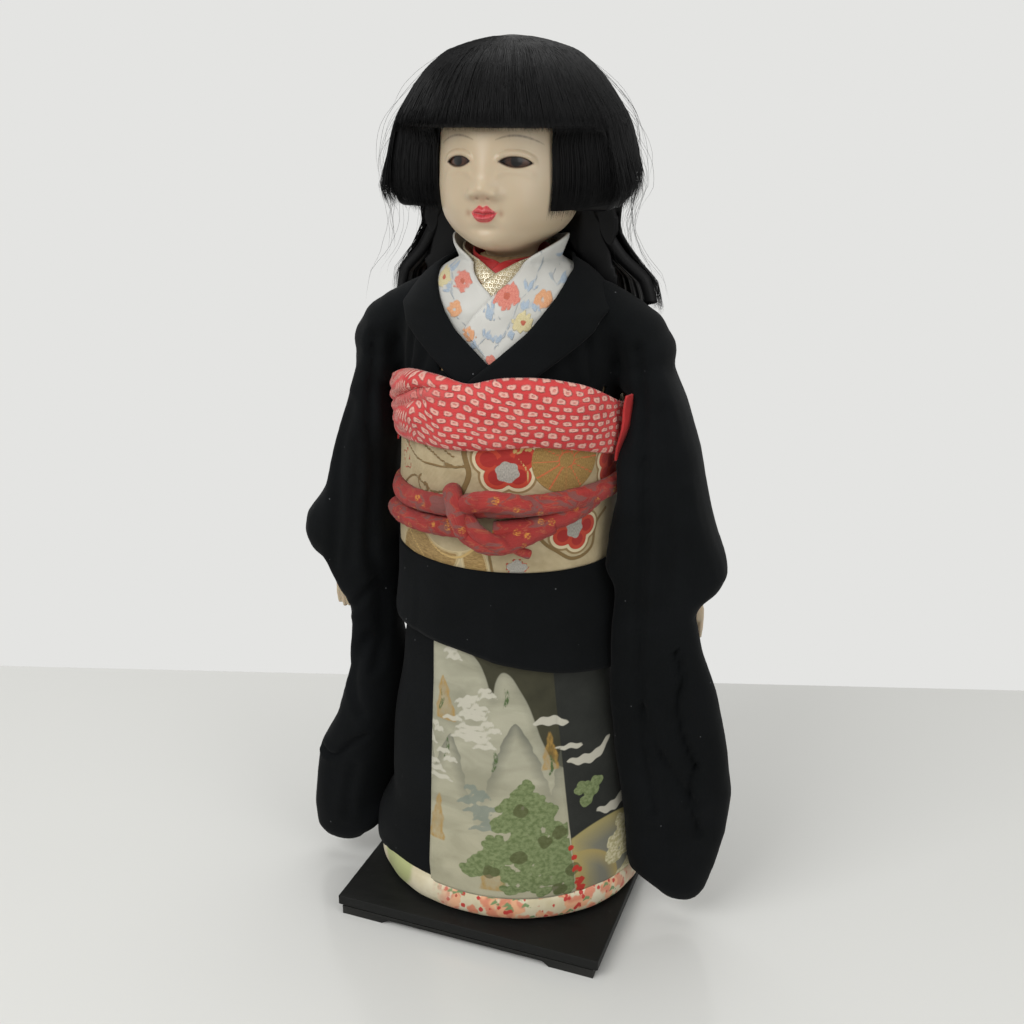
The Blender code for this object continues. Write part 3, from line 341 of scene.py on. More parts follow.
class Paint:
    """A Principled material built up from procedural nodes."""

    def __init__(self, name, colour, roughness, metallic=0.0, **sockets):
        self.material = bpy.data.materials.new(name)
        self.material.use_nodes = True
        self.nodes = self.material.node_tree.nodes
        self.links = self.material.node_tree.links
        self.shader = self.nodes["Principled BSDF"]
        self.set("Base Color", (*colour, 1.0))
        self.set("Roughness", roughness)
        self.set("Metallic", metallic)
        for key, value in sockets.items():
            self.set(key.replace("_", " "), value)
        self.colour = (*colour, 1.0)
        self.normal = None

    def feed(self, target, value):
        if isinstance(value, bpy.types.NodeSocket):
            self.links.new(value, target)
        elif value is not None:
            target.default_value = value

    def set(self, socket, value):
        self.feed(self.shader.inputs[socket], value)

    def node(self, kind, *values, **named):
        """A new node whose inputs are fed in order, then by name."""
        node = self.nodes.new("ShaderNode" + kind)
        for target, value in zip(node.inputs, values):
            self.feed(target, value)
        for key, value in named.items():
            self.feed(node.inputs[key], value)
        return node

    def math(self, operation, a, b=None):
        node = self.node("Math", a, b)
        node.operation = operation
        return node.outputs[0]

    def times(self, a, b):
        return self.math("MULTIPLY", a, b)

    def plus(self, a, b):
        return self.math("ADD", a, b)

    def minus(self, a, b):
        return self.math("SUBTRACT", a, b)

    def most(self, *values):
        best = values[0]
        for value in values[1:]:
            best = self.math("MAXIMUM", best, value)
        return best

    def sine(self, value, length):
        """A wave along a value, of the given length."""
        return self.math("SINE", self.times(value, TAU / length))

    def mix(self, share, a, b):
        node = self.node("Mix", Factor=share)
        node.data_type = "RGBA"
        self.feed(node.inputs[6], a)
        self.feed(node.inputs[7], b)
        return node.outputs[2]

    def remap(self, value, low, high, to_low=0.0, to_high=1.0, smooth=False):
        node = self.node("MapRange", value, low, high, to_low, to_high)
        node.interpolation_type = "SMOOTHSTEP" if smooth else "LINEAR"
        return node.outputs[0]

    def blend(self, value, low, high, dark, light):
        """From one screen colour to another as a value rises."""
        return self.mix(self.remap(value, low, high), rgba(*dark), rgba(*light))

    def value(self, name):
        node = self.node("Attribute")
        node.attribute_name = name
        return node.outputs["Fac"]

    def uv(self):
        """The piece's own cloth coordinates, in millimetres."""
        node = self.node("UVMap")
        node.uv_map = "cloth"
        split = self.node("SeparateXYZ", node.outputs[0])
        return node.outputs[0], split.outputs[0], split.outputs[1]

    def place(self):
        """The object's own coordinates, in metres."""
        return self.node("TexCoord").outputs["Object"]

    def scaled(self, vector, x, y, z=1.0):
        return self.node("Mapping", Vector=vector, Scale=(x, y, z)).outputs[0]

    def noise(self, vector, scale, detail=3.0, roughness=0.55, distortion=0.0):
        inputs = {"Scale": scale, "Detail": detail, "Roughness": roughness, "Distortion": distortion}
        return self.node("TexNoise", Vector=vector, **inputs).outputs["Fac"]

    def cells(self, vector, scale):
        return self.node("TexVoronoi", Vector=vector, Scale=scale).outputs["Distance"]

    def inside(self, distance, edge=0.0, soft=0.12):
        """1 where a signed distance is below an edge, with a soft rim in millimetres."""
        return self.remap(distance, edge - soft, edge + soft, 1.0, 0.0, smooth=True)

    def shape(self, name, edge=0.0, soft=0.12):
        """1 inside a shape that the mesh carries as a signed distance."""
        return self.inside(self.value(name), edge, soft)

    def layer(self, share, colour):
        """Lays a colour over what is there."""
        self.colour = self.mix(share, self.colour, colour)

    def tint(self, share, amount, colour):
        """Lays a screen colour thinly over what is there."""
        self.layer(self.times(share, amount), rgba(*colour))

    def bump(self, height, distance):
        """Adds relief; distance is the height's size in millimetres."""
        node = self.node("Bump", Strength=1.0, Distance=distance * MM, Height=height, Normal=self.normal)
        self.normal = node.outputs[0]

    def done(self):
        if isinstance(self.colour, bpy.types.NodeSocket):
            self.links.new(self.colour, self.shader.inputs["Base Color"])
        if self.normal is not None:
            self.links.new(self.normal, self.shader.inputs["Normal"])
        return self.material


def rgb(r, g, b):
    """A colour as seen on screen, from 0 to 255, made linear."""
    found = []
    for c in (r, g, b):
        c /= 255.0
        found.append(c / 12.92 if c <= 0.04045 else ((c + 0.055) / 1.055) ** 2.4)
    return tuple(found)


def rgba(r, g, b):
    return (*rgb(r, g, b), 1.0)


def wear(obj, material):
    """Gives a piece its only material."""
    obj.data.materials.clear()
    obj.data.materials.append(material)


def crepe_weave(paint, coords, step=0.35, depth=0.05):
    """A fine, slightly irregular plain weave with a crepe grain."""
    fine = paint.noise(coords, 1.0 / (step * MM), detail=2.0, roughness=0.7)
    grain = paint.noise(paint.scaled(coords, 1.0, 1.0, 0.35), 0.6 / (step * MM), detail=1.0)
    paint.bump(paint.plus(fine, grain), depth)
    return fine


def black_crepe():
    paint = Paint("black_crepe", rgb(9, 11, 13), 0.85, Sheen_Weight=0.02, Sheen_Roughness=0.5)
    paint.set("Specular IOR Level", 0.1)
    coords = paint.place()
    fine = crepe_weave(paint, coords)
    broad = paint.noise(coords, 22.0, detail=3.0)
    paint.colour = paint.blend(broad, 0.35, 0.7, (7, 9, 10), (13, 15, 17))
    paint.layer(paint.remap(fine, 0.62, 0.9, 0.0, 0.14), rgba(46, 50, 54))
    lint = paint.cells(coords, 95.0)
    paint.layer(paint.remap(lint, 0.024, 0.04, 0.6, 0.0), rgba(120, 122, 124))
    return paint.done()


def plain_silk(name, colour, roughness=0.5, sheen=0.15):
    paint = Paint(name, colour, roughness, Sheen_Weight=sheen)
    coords = paint.place()
    fine = crepe_weave(paint, coords, 0.28, 0.03)
    broad = paint.noise(coords, 60.0, detail=2.0)
    dark = tuple(c * 0.72 for c in colour)
    paint.colour = paint.mix(paint.remap(broad, 0.3, 0.75), (*dark, 1.0), (*colour, 1.0))
    paint.layer(paint.remap(fine, 0.5, 0.9, 0.0, 0.15), (*[min(1.0, c * 1.3) for c in colour], 1.0))
    return paint.done()


# Camera, light and floor


CAMERA_TURN = math.radians(14.5)
CAMERA_PITCH = math.radians(70.0)
CAMERA_DISTANCE, CAMERA_HEIGHT = 0.573, 0.430  # metres from the doll's axis and above the floor
LENS = 40.57
LAMPS = (
    # name, place, target, size and power
    ("key", (-0.55, -1.0, 1.15), (0.0, 0.0, 0.28), (0.9, 0.7), 11.0),
    ("fill", (1.1, -0.7, 0.7), (0.0, 0.0, 0.25), (0.9, 0.9), 4.5),
    ("top", (0.0, 0.25, 1.5), (0.0, 0.0, 0.3), (1.2, 1.2), 8.0),
)


def set_camera():
    data = bpy.data.cameras.new("camera")
    data.sensor_width = 36.0
    data.lens = LENS
    data.clip_start = 0.01
    camera = bpy.data.objects.new("camera", data)
    x = CAMERA_DISTANCE * math.sin(CAMERA_TURN) + CENTRE_X * MM
    y = -CAMERA_DISTANCE * math.cos(CAMERA_TURN)
    camera.location = (x, y, CAMERA_HEIGHT)
    camera.rotation_euler = (CAMERA_PITCH, 0.0, CAMERA_TURN)
    bpy.context.scene.collection.objects.link(camera)
    bpy.context.scene.camera = camera


def area_light(name, place_at, target, size, power):
    data = bpy.data.lights.new(name, "AREA")
    data.shape = "RECTANGLE"
    data.size, data.size_y = size
    data.energy = power
    lamp = bpy.data.objects.new(name, data)
    lamp.location = place_at
    lamp.rotation_euler = (Vector(target) - Vector(place_at)).to_track_quat("-Z", "Y").to_euler()
    bpy.context.scene.collection.objects.link(lamp)


def set_studio():
    scene = bpy.context.scene
    scene.view_settings.view_transform = "Standard"
    world = bpy.data.worlds.new("studio")
    scene.world = world
    world.use_nodes = True
    nodes, links = world.node_tree.nodes, world.node_tree.links
    background = nodes["Background"]
    seen = nodes.new("ShaderNodeBackground")
    for node, colour, strength in ((background, (229, 229, 226), 0.6), (seen, (228, 228, 226), 1.0)):
        node.inputs["Color"].default_value = rgba(*colour)
        node.inputs["Strength"].default_value = strength
    path = nodes.new("ShaderNodeLightPath")
    either = nodes.new("ShaderNodeMath")
    either.operation = "MAXIMUM"
    links.new(path.outputs["Is Camera Ray"], either.inputs[0])
    links.new(path.outputs["Is Glossy Ray"], either.inputs[1])
    mixed = nodes.new("ShaderNodeMixShader")
    links.new(either.outputs[0], mixed.inputs[0])
    links.new(background.outputs[0], mixed.inputs[1])
    links.new(seen.outputs[0], mixed.inputs[2])
    links.new(mixed.outputs[0], nodes["World Output"].inputs["Surface"])

    for lamp in LAMPS:
        area_light(*lamp)

    # The table's far edge runs a little behind the doll
    along = Vector((0.785, 0.161, 0.0)).normalized() * 4.0
    middle = Vector((-0.075, 0.219, 0.0))
    near = Vector((-along.y, along.x, 0.0)) * -1.0
    corners = [middle - along, middle + along, middle + along + near, middle - along + near]
    floor = bpy.data.meshes.new("floor")
    floor.from_pydata([tuple(c) for c in corners], [], [(3, 2, 1, 0)])
    table = bpy.data.objects.new("floor", floor)
    paint = Paint("white_table", rgb(213, 213, 210), 0.16, Specular_IOR_Level=0.5)
    haze = paint.noise(paint.place(), 1.5, detail=1.0)
    paint.colour = paint.blend(haze, 0.3, 0.7, (209, 209, 206), (217, 217, 214))
    wear(table, paint.done())
    scene.collection.objects.link(table)


# Stand


def lacquer():
    """Black lacquer with brushed grain, dust and worn edges."""
    paint = Paint("black_lacquer", rgb(16, 17, 16), 0.6, Coat_Weight=0.04, Coat_Roughness=0.3)
    paint.set("Specular IOR Level", 0.16)
    coords = paint.place()
    brushed = paint.noise(paint.scaled(coords, 1.0, 14.0, 14.0), 60.0, detail=4.0)
    dust = paint.noise(coords, 320.0, detail=2.0)
    paint.colour = paint.blend(brushed, 0.3, 0.8, (13, 14, 13), (22, 23, 22))
    paint.layer(paint.remap(dust, 0.66, 0.8, 0.0, 0.2), rgba(70, 70, 68))
    paint.set("Roughness", paint.remap(brushed, 0.3, 0.8, 0.5, 0.68))
    paint.bump(brushed, 0.05)
    edge = paint.node("NewGeometry").outputs["Pointiness"]
    paint.layer(paint.remap(edge, 0.56, 0.7, 0.0, 0.4), rgba(70, 69, 66))
    return paint.done()


def dress_stand():
    finish = lacquer()
    for node in ("stand_board", "stand_rail_front", "stand_rail_back"):
        wear(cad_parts[node], finish)


# Cloth rings round the body


def ring_piece(name, section, heights, turns, thick, material, *nodes):
    """A sheet round the body: section(angle, height) gives its offset and its height."""
    a, h = np.meshgrid(full_turn(turns), heights, indexing="ij")
    offset, height = section(a, h)
    uv = np.stack([a * GIRTH, h], -1)
    obj = new_object(name, around(a, height, offset), grid_faces(turns, len(heights), True), uv=uv)
    solidify(obj, thick)
    wear(obj, material)
    return place(obj, *nodes)


def full_turn(steps):
    return np.linspace(0.0, TAU, steps, endpoint=False)


def body_grid(turns, steps):
    """Angles all round the body and shares from 0 to 1 across the cloth."""
    return np.meshgrid(full_turn(turns), np.linspace(0.0, 1.0, steps), indexing="ij")


def skirt_folds(a, h):
    """Soft vertical folds of the skirt, deeper at the back and sides than in front."""
    back = smoothstep(0.3, -0.8, np.cos(a))
    slow = 0.9 * np.sin(7 * a + 0.6 * np.sin(h / 40.0)) + 0.5 * np.sin(13 * a + h / 55.0)
    right = bump_at(np.degrees(signed_turn(a)), -80.0, 34.0)
    belly = 3.6 * bump_at(h, 92.0, 34.0) + 2.5 * bump_at(h, 140.0, 18.0)
    bulge = right * (belly - 1.2 * bump_at(h, 46.0, 7.0))
    return (0.25 + 0.9 * back) * slow * smoothstep(200.0, 90.0, h) + bulge


def make_skirt():
    """The black skirt, which hangs from under the sash to the hem."""
    low, high = 15.0, WAIST + 3.0

    def section(a, h):
        edge = smoothstep(15.0, 24.0, h)
        cover = bump_at(np.degrees(signed_turn(a)), -92.0, 34.0)
        over_hem = 7.8 * cover * smoothstep(46.0, 20.0, h)
        drop = 7.5 * cover * smoothstep(34.0, 15.0, h)
        return CLOTH - 0.4 + skirt_folds(a, h) * edge + over_hem, h - drop

    nodes = ["kimono_skirt", "under_robe"]
    return ring_piece("skirt_cloth", section, np.linspace(low, high, 68), 180, 1.2, black_crepe(), *nodes)


def cloud(u, v, points, width):
    """A drifting cloud or mist bank: a tapering wavy stroke."""
    return d_line(u, v + 0.5 * np.sin(u * 0.9), spline(points, 6), width, 0.9)


def peak(u, v, x, base, top, wide, lean=0.0):
    """A mountain with a rounded top and slopes that widen to its base."""
    t = np.clip((top - v) / (top - base), 0.0, 1.3)
    rough = 0.5 * np.sin(v * 0.55 + x) + 0.25 * np.sin(v * 1.3 + 2 * x)
    half = wide / 2 * (0.3 * np.sqrt(np.clip(t * 3.0, 0, 1)) + 0.7 * t**1.2) + rough * np.clip(4 * t, 0, 1)
    middle = x + lean * t
    return np.maximum(np.maximum(np.abs(u - middle) - half, v - top), base - v)


def snowy_twigs(u, v, x, y, size, seed, tiers=7):
    """A clump of snowy pine boughs: curved level strokes in loose tiers."""
    rng = random.Random(seed)
    best = np.full(np.shape(u), 1e3)
    for k in range(tiers):
        share = k / (tiers - 1)
        cx = x + rng.uniform(-0.45, 0.45) * size
        cy = y + (share - 0.5) * size * 1.15
        run = size * (1.2 - 0.6 * share) * rng.uniform(0.75, 1.15)
        stroke = [(cx - run / 2, cy - 1.8), (cx - run / 4, cy + 0.4), (cx, cy - 0.3)]
        stroke += [(cx + run / 4, cy + 0.8), (cx + run / 2, cy - 1.0)]
        best = np.minimum(best, d_line(u, v, stroke, 2.5, 0.7))
    return best


def foliage(u, v, spots, seed):
    """Leafy masses from many small overlapping rounds."""
    rng = random.Random(seed)
    best = np.full(np.shape(u), 1e3)
    for x, y, r in spots:
        for _ in range(int(6 + 2.6 * r)):
            a, d = rng.uniform(0, TAU), r * math.sqrt(rng.random())
            best = np.minimum(best, d_circle(u, v, x + d * math.cos(a), y + d * math.sin(a), 2.0))
    return best


FAR_RIDGE = (
    # across and height
    (-44, 150), (-34, 161), (-22, 156), (-12, 152), (-5, 146), (-1, 138), (2.5, 127), (4, 135),
    (6, 140), (8.5, 141.5), (12, 139), (15.5, 133), (20, 124), (23.5, 113), (26.5, 103), (33, 90),
    (48, 82),
)
# across, base, top, width and lean of each mountain
NEAR_PEAKS = (
    (13.7, 56, 114, 40, 2),
    (-18, 62, 103, 26),
    (36, 54, 99, 18),
    (36, 50, 76, 16),
    (-34, 80, 122, 16),
)
OCHRE_PEAKS = ((-25, 110, 134, 13, 4), (30, 88, 109, 9), (-22, 42, 68, 9), (5, 20, 44, 12))
SNOWY_TWIGS = (
    # across, height, size, seed and tiers
    (-5, 123, 13, 3),
    (-11, 112, 15, 5),
    (0, 106, 11, 9, 5),
    (-23, 152, 11, 15, 5),
    (-29, 101, 9, 8, 5),
    (-22, 85, 13, 9, 5),
)
CLOUDS = (
    # points and width
    ([(22, 114), (31, 115), (40, 112)], 5.0),
    ([(32, 99), (42, 99), (47, 98)], 3.0),
    ([(38, 91), (46, 90), (55, 91), (64, 99)], 5.5),
    ([(52, 59), (61, 57), (71, 60), (79, 70)], 6.0),
    ([(70, 120), (80, 124), (92, 121)], 5.0),
)
TREE = (
    # across, height and size of each clump of leaves
    (18, 79, 3), (16, 74, 4), (22, 71, 4), (10, 67, 4), (18, 65, 6), (27, 64, 5), (8, 58, 4),
    (15, 56, 6), (24, 56, 6), (33, 53, 5), (5, 47, 4), (11, 46, 6), (20, 46, 7), (30, 45, 6),
    (36, 42, 5), (0, 35, 4), (4, 36, 6), (13, 36, 7), (23, 35, 7), (33, 34, 6), (41, 33, 4),
    (14, 25, 6), (24, 24, 6), (34, 23, 6), (-4, 31, 4), (38, 24, 3),
)


def painting(u, v):
    """The landscape on the skirt, in millimetres across from the front and up from the stand."""
    ridge = [(float(x), float(y)) for x, y in spline(FAR_RIDGE, 4)]
    far = d_polygon(u, v, [*ridge, (48, 0), (-44, 0)])
    near = union(*[peak(u, v, *form) for form in NEAR_PEAKS])
    ochre = union(*[peak(u, v, *form) for form in OCHRE_PEAKS])
    white = [snowy_twigs(u, v, *clump) for clump in SNOWY_TWIGS]
    white = union(*white, *[cloud(u, v, *bank) for bank in CLOUDS])
    blue = union(snowy_twigs(u, v, -3, 70, 11, 12, 7), snowy_twigs(u, v, 2, 60, 10, 13, 5))
    seam = seam_at(v)
    tree = np.maximum(foliage(u, v, TREE, 21), u - seam + 0.6)
    tree = union(tree, foliage(u, v, [(45, 75, 3), (50, 71, 3), (47, 66, 2), (54, 76, 2)], 22))
    dark = [(16, 66), (33, 52), (26, 48), (15, 40), (4, 31), (38, 30), (32, 20)]
    dark_leaf = foliage(u, v, [(x, y, 2) for x, y in dark], 5)
    vines = union(*[
        d_line(u, v, spline([(x, y), (x + 1.0, y - 5), (x - 0.6, y - 11)]), 2.0, 0.5)
        for x, y in ((4, 98), (30, 96), (-25, 126), (9, 133), (-20, 100))
    ])
    boughs = [(64, 36, 6), (71, 31, 6), (60, 29, 4), (76, 40, 6), (68, 45, 4)]
    boughs += [(64, 12, 5), (72, 16, 6), (80, 22, 6)]
    berries = foliage(u, v, [(39, 36, 1), (40, 29, 2), (41, 22, 2), (38, 42, 1), (42, 17, 2)], 8) + 1.1
    return {
        "far": far,
        "near": near,
        "ochre": ochre,
        "white": white,
        "blue": blue,
        "tree": tree,
        "leaf": dark_leaf,
        "vines": vines,
        "hill": np.maximum(d_ellipse(u, v, 60, 22, 36, 31), seam - u),
        "gold_hill": np.maximum(d_ellipse(u, v, 42, 16, 20, 23), seam - u),
        "pine": foliage(u, v, boughs, 33),
        "berries": berries,
        "past_seam": u - seam,
    }


def seam_at(v):
    """Where the panel's seam runs; it leans a little."""
    return 39.5 - 0.05 * (v - 18.0)


def painted_silk():
    paint = Paint("painted_silk", rgb(56, 55, 40), 0.7, Sheen_Weight=0.05)
    paint.set("Specular IOR Level", 0.2)
    uv, _, v = paint.uv()
    coords = paint.place()
    wash = paint.noise(paint.scaled(uv, 0.05, 0.05), 1.0, detail=4.0)
    cloudy = paint.noise(paint.scaled(uv, 0.035, 0.07), 1.0, detail=3.0, distortion=0.6)
    seam = paint.remap(paint.value("past_seam"), -0.3, 0.3)
    ground = paint.blend(wash, 0.3, 0.7, (50, 49, 35), (68, 66, 49))
    night = paint.blend(wash, 0.3, 0.7, (26, 28, 26), (40, 42, 39))
    paint.colour = paint.mix(seam, ground, night)
    before_seam = paint.minus(1.0, seam)

    far_d = paint.value("far")
    far = paint.times(paint.inside(far_d, soft=0.5), before_seam)
    stone = paint.blend(cloudy, 0.32, 0.68, (150, 148, 128), (176, 173, 152))
    paint.layer(far, stone)
    ridge = paint.times(paint.remap(far_d, -4.0, 0.0), far)
    paint.tint(ridge, 0.4, (122, 122, 108))
    low_mist = paint.times(paint.remap(v, 96.0, 40.0), before_seam)
    mist = paint.blend(cloudy, 0.35, 0.65, (160, 156, 132), (182, 177, 152))
    paint.layer(low_mist, mist)

    near_d = paint.value("near")
    near = paint.times(paint.inside(near_d, soft=0.4), before_seam)
    rim = paint.remap(near_d, -6.0, 0.0, 0.0, 0.8)
    high = paint.remap(v, 60.0, 108.0, 0.1, 1.0)
    paint.layer(paint.times(paint.times(near, rim), high), rgba(92, 94, 84))
    ochre_d = paint.value("ochre")
    ochre = paint.times(paint.inside(ochre_d, soft=0.6), before_seam)
    grain = paint.noise(paint.scaled(uv, 0.6, 0.25), 1.0, detail=3.0)
    edge = paint.remap(ochre_d, -3.5, -0.3, 0.45, 1.0)
    ochre = paint.times(ochre, edge)
    paint.layer(paint.times(ochre, paint.remap(grain, 0.3, 0.65, 0.4, 0.95)), rgba(170, 134, 66))
    vines = paint.times(paint.shape("vines", soft=0.4), before_seam)
    paint.layer(paint.times(vines, paint.remap(grain, 0.4, 0.55)), rgba(78, 98, 58))
    blue = paint.shape("blue", soft=0.3)
    paint.tint(blue, 0.7, (118, 130, 122))

    hill_d = paint.value("hill")
    slope = paint.blend(hill_d, -12.0, -0.5, (118, 117, 104), (160, 148, 98))
    paint.layer(paint.inside(hill_d, soft=0.5), slope)
    gold_d = paint.value("gold_hill")
    gold = paint.times(paint.inside(gold_d, soft=0.6), paint.remap(gold_d, -7.0, 0.0))
    paint.layer(gold, rgba(166, 148, 92))

    white = paint.shape("white", soft=0.35)
    paint.tint(white, 0.88, (200, 196, 180))
    tree = paint.shape("tree", soft=0.25)
    leaf_tone = paint.noise(paint.scaled(uv, 0.5, 0.5), 1.0, detail=2.0)
    paint.layer(tree, paint.blend(leaf_tone, 0.35, 0.65, (98, 112, 70), (128, 140, 98)))
    dark_leaf = paint.shape("leaf", soft=0.3)
    paint.tint(dark_leaf, 0.7, (74, 76, 42))
    snow = paint.shape("pine", soft=0.3)
    paint.layer(snow, paint.blend(leaf_tone, 0.4, 0.6, (170, 162, 120), (204, 196, 162)))
    paint.layer(paint.shape("berries", soft=0.2), rgba(180, 50, 40))
    fine = crepe_weave(paint, coords, 0.28, 0.03)
    paint.layer(paint.remap(fine, 0.3, 0.7, 0.12, 0.0), rgba(80, 78, 66))
    return paint.done()


def make_front_panel():
    """The painted overlap of the skirt; its free edge leans, and a seam runs down beside it."""
    low, high = 15.5, WAIST + 3.0
    h, s = np.meshgrid(np.linspace(low, high, 128), np.linspace(0.0, 1.0, 136), indexing="ij")
    h, s = h.T, s.T
    start = -24.0 - 10.0 * (h - low) / 134.0
    degrees = start + (92.0 - start) * s
    a = np.radians(degrees)
    u = a * GIRTH
    across = u - np.radians(start) * GIRTH
    groove = 0.5 * bump_at(u - seam_at(h), 0.0, 0.8)
    sink = -0.6 * smoothstep(2.5, 0.0, across) - 1.8 * smoothstep(7.0, 0.0, 92.0 - degrees)
    ripple = 0.35 * np.sin(5 * a + 0.7) * smoothstep(160.0, 60.0, h)
    bulge = 2.4 * bump_at(degrees, 82.0, 26.0) * bump_at(h, 105.0, 40.0)
    points = around(a, h, PANEL_OUT - 0.3 - groove + sink + ripple + bulge)
    uv = np.stack([u, h], -1)
    faces = grid_faces(136, 128)
    kind = {"uv": uv, "values": painting(u, h)}
    return cloth_piece("front_panel_silk", points, faces, 1.0, painted_silk(), "kimono_front_panel", **kind)


def hem_print(u, v):
    """Blossoms, buds and leaves, scattered over the front of the hem."""
    rng = random.Random(4)
    big = np.full(np.shape(u), 1e3)
    small = np.full(np.shape(u), 1e3)
    leaf = np.full(np.shape(u), 1e3)
    for k in range(150):
        x, y = rng.uniform(-40, 110), rng.uniform(1, 17)
        big = np.minimum(big, d_flower(u, v, x, y, rng.uniform(1.6, 3.2), 5, rng.random()))
        near_x, near_y = x + rng.uniform(-5, 5), rng.uniform(1, 17)
        small = np.minimum(small, d_circle(u, v, near_x, near_y, rng.uniform(0.5, 1.2)))
        if k % 4 == 0:
            leaf = np.minimum(leaf, d_line(u, v, [(x, y), (x + 2.5, y + 1.5), (x + 5.5, y - 0.5)], 1.2, 0.9))
    crescent = np.maximum(d_ellipse(u, v, -70, 11, 30, 11), -d_ellipse(u, v, -84, 6, 20, 8))
    return {"big": big, "small": small, "leaf": leaf, "crescent": crescent}


def printed_hem():
    """Cream silk with a scattered print of blossoms and leaves."""
    paint = Paint("printed_hem", rgb(206, 196, 164), 0.6, Sheen_Weight=0.1)
    uv, u, _ = paint.uv()
    coords = paint.place()
    wash = paint.noise(paint.scaled(uv, 0.06, 0.06), 1.0, detail=3.0)
    paint.colour = paint.blend(wash, 0.35, 0.65, (198, 186, 152), (218, 209, 182))
    paint.layer(paint.shape("crescent", soft=0.8), rgba(172, 177, 122))
    front = paint.times(paint.remap(u, -26.0, -14.0), paint.remap(u, 95.0, 70.0))
    big = paint.times(paint.shape("big", soft=0.35), front)
    tone = paint.noise(paint.scaled(uv, 0.21, 0.21), 1.0, detail=0.0)
    petals = paint.blend(tone, 0.42, 0.55, (208, 108, 76), (226, 158, 116))
    paint.layer(paint.times(big, 0.8), petals)
    small = paint.times(paint.shape("small", soft=0.2), front)
    paint.layer(small, rgba(188, 52, 44))
    paint.layer(paint.times(paint.shape("leaf", soft=0.2), front), rgba(112, 140, 92))
    crepe_weave(paint, coords, 0.28, 0.03)
    return paint.done()


def make_hem():
    """The padded, rolled lining that shows below the skirt."""
    high = 17.6
    a, s = body_grid(300, 26)
    turn = s * math.pi
    lump = 0.35 * np.sin(9 * a) + 0.25 * np.sin(23 * a + 1.0)
    radius = 5.4 + lump * np.sin(turn)
    offset = -3.0 + radius * np.sin(turn) ** 0.75 + 2.8 * np.minimum(1.0, 4 * s * (1 - s) + 0.2)
    height = 0.5 + high * (0.5 - 0.5 * np.cos(turn)) + 0.4 * np.sin(5 * a + 2.0) * s
    points = around(a, height, offset)
    u, v = signed_turn(a) * 66.0, s * high
    kind = {"uv": np.stack([u, v], -1), "values": hem_print(u, v)}
    faces = grid_faces(*a.shape, True)
    return cloth_piece("hem_silk", points, faces, 0.8, printed_hem(), "hem_lining", **kind)


def fold_low(a):
    """The tucked fold's lower edge, which is lower at the doll's left."""
    share = (1.0 + np.sin(a)) / 2
    return WAIST - (37.0 + 19.0 * share**1.6)


def side_share(a):
    """0 in front and at the back, 1 at the doll's sides, where the arms press the sash."""
    return np.sin(a) ** 4


def make_fold():
    """The tucked fold of black cloth below the sash, with its rounded lower edge."""
    a, s = body_grid(220, 30)
    low = fold_low(a)
    top = WAIST + 3.0
    height = top + (low - top) * np.minimum(s / 0.86, 1.0) + 1.5 * np.clip((s - 0.86) / 0.14, 0, 1)
    under = smoothstep(0.84, 1.0, s)
    degrees = np.degrees(signed_turn(a))
    tuck = 0.9 * np.tanh((degrees - 2.0) / 1.2) + 0.6 * np.tanh((degrees - 16.0) / 1.2)
    tuck = tuck - 0.7 * np.tanh((degrees + 44.0) / 1.2)
    drape = 0.55 * np.sin(6 * a) + 0.35 * np.sin(11 * a + 0.8)
    wider = RIGHT_WIDER * bump_at(degrees, -92.0, 38.0)
    offset = FOLD_OUT - 0.3 + (0.5 * tuck + drape) * smoothstep(0.0, 0.5, s) + 1.8 * s - 2.6 * under + wider
    points = around(a, height, offset)
    faces = grid_faces(*a.shape, True)
    return cloth_piece("tucked_fold_cloth", points, faces, 1.0, black_crepe(), "kimono_fold")


# Sash


def spiral(x, y, r, turns, start=0.0, hand=1.0):
    """Points of a curl that winds in to its centre."""
    points = []
    for k in range(26):
        t = k / 25
        a = start + hand * turns * TAU * t
        points.append((x + r * (1 - t) * math.cos(a), y + r * (1 - t) * math.sin(a)))
    return points


def strokes(u, v, lines, curls):
    """Woven lines and spirals, each of its own width."""
    best = [d_line(u, v, spline(points), *widths) for points, *widths in lines]
    return union(*best, *[d_line(u, v, spiral(*form), width) for form, width in curls])


VINE_LINES = (
    # points, width and taper
    ([(-58, 62), (-44, 55), (-30, 54), (-16, 56)], 1.2),
    ([(-47, 76), (-42, 66), (-30, 58), (-20, 55)], 1.2),
    ([(-34, 76), (-30, 66), (-21, 60)], 1.1),
    ([(-12, 77), (-16, 64), (-14, 52), (-19, 40)], 2.6),
    ([(-60, 38), (-48, 45), (-34, 40), (-22, 44)], 1.1),
    ([(12, 30), (20, 19), (26, 14), (36, 8), (47, 12), (50, 24), (58, 30)], 1.8),
    ([(-1, 30), (8, 26), (18, 22)], 1.6),
    ([(-2, 25), (-5, 14), (-3, 0)], 1.4),
    ([(62, 3), (66, 14), (76, 24), (90, 16)], 1.4),
    ([(-98, 52), (-88, 44), (-78, 30), (-66, 24)], 1.4),
)
VINE_CURLS = (
    # centre, size, turns, start and hand of a spiral, and its width
    ((-46, 66, 4.5, 1.2, 0.6), 1.1),
    ((-40, 42, 5.5, 1.2, 2.0), 1.1),
    ((80, 56, 9, 1.3, 1.0), 1.4),
    ((-120, 60, 8, 1.2, 2.4), 1.3),
)
SCROLL_LINES = (
    # points, width and taper
    ([(8, 62), (12, 56), (13, 48)], 1.0, 0.6),
    ([(-62, 20), (-54, 12), (-46, 6), (-40, 0)], 1.0),
    ([(-38, 13), (-30, 8), (-20, 8), (-12, 14)], 1.2),
)
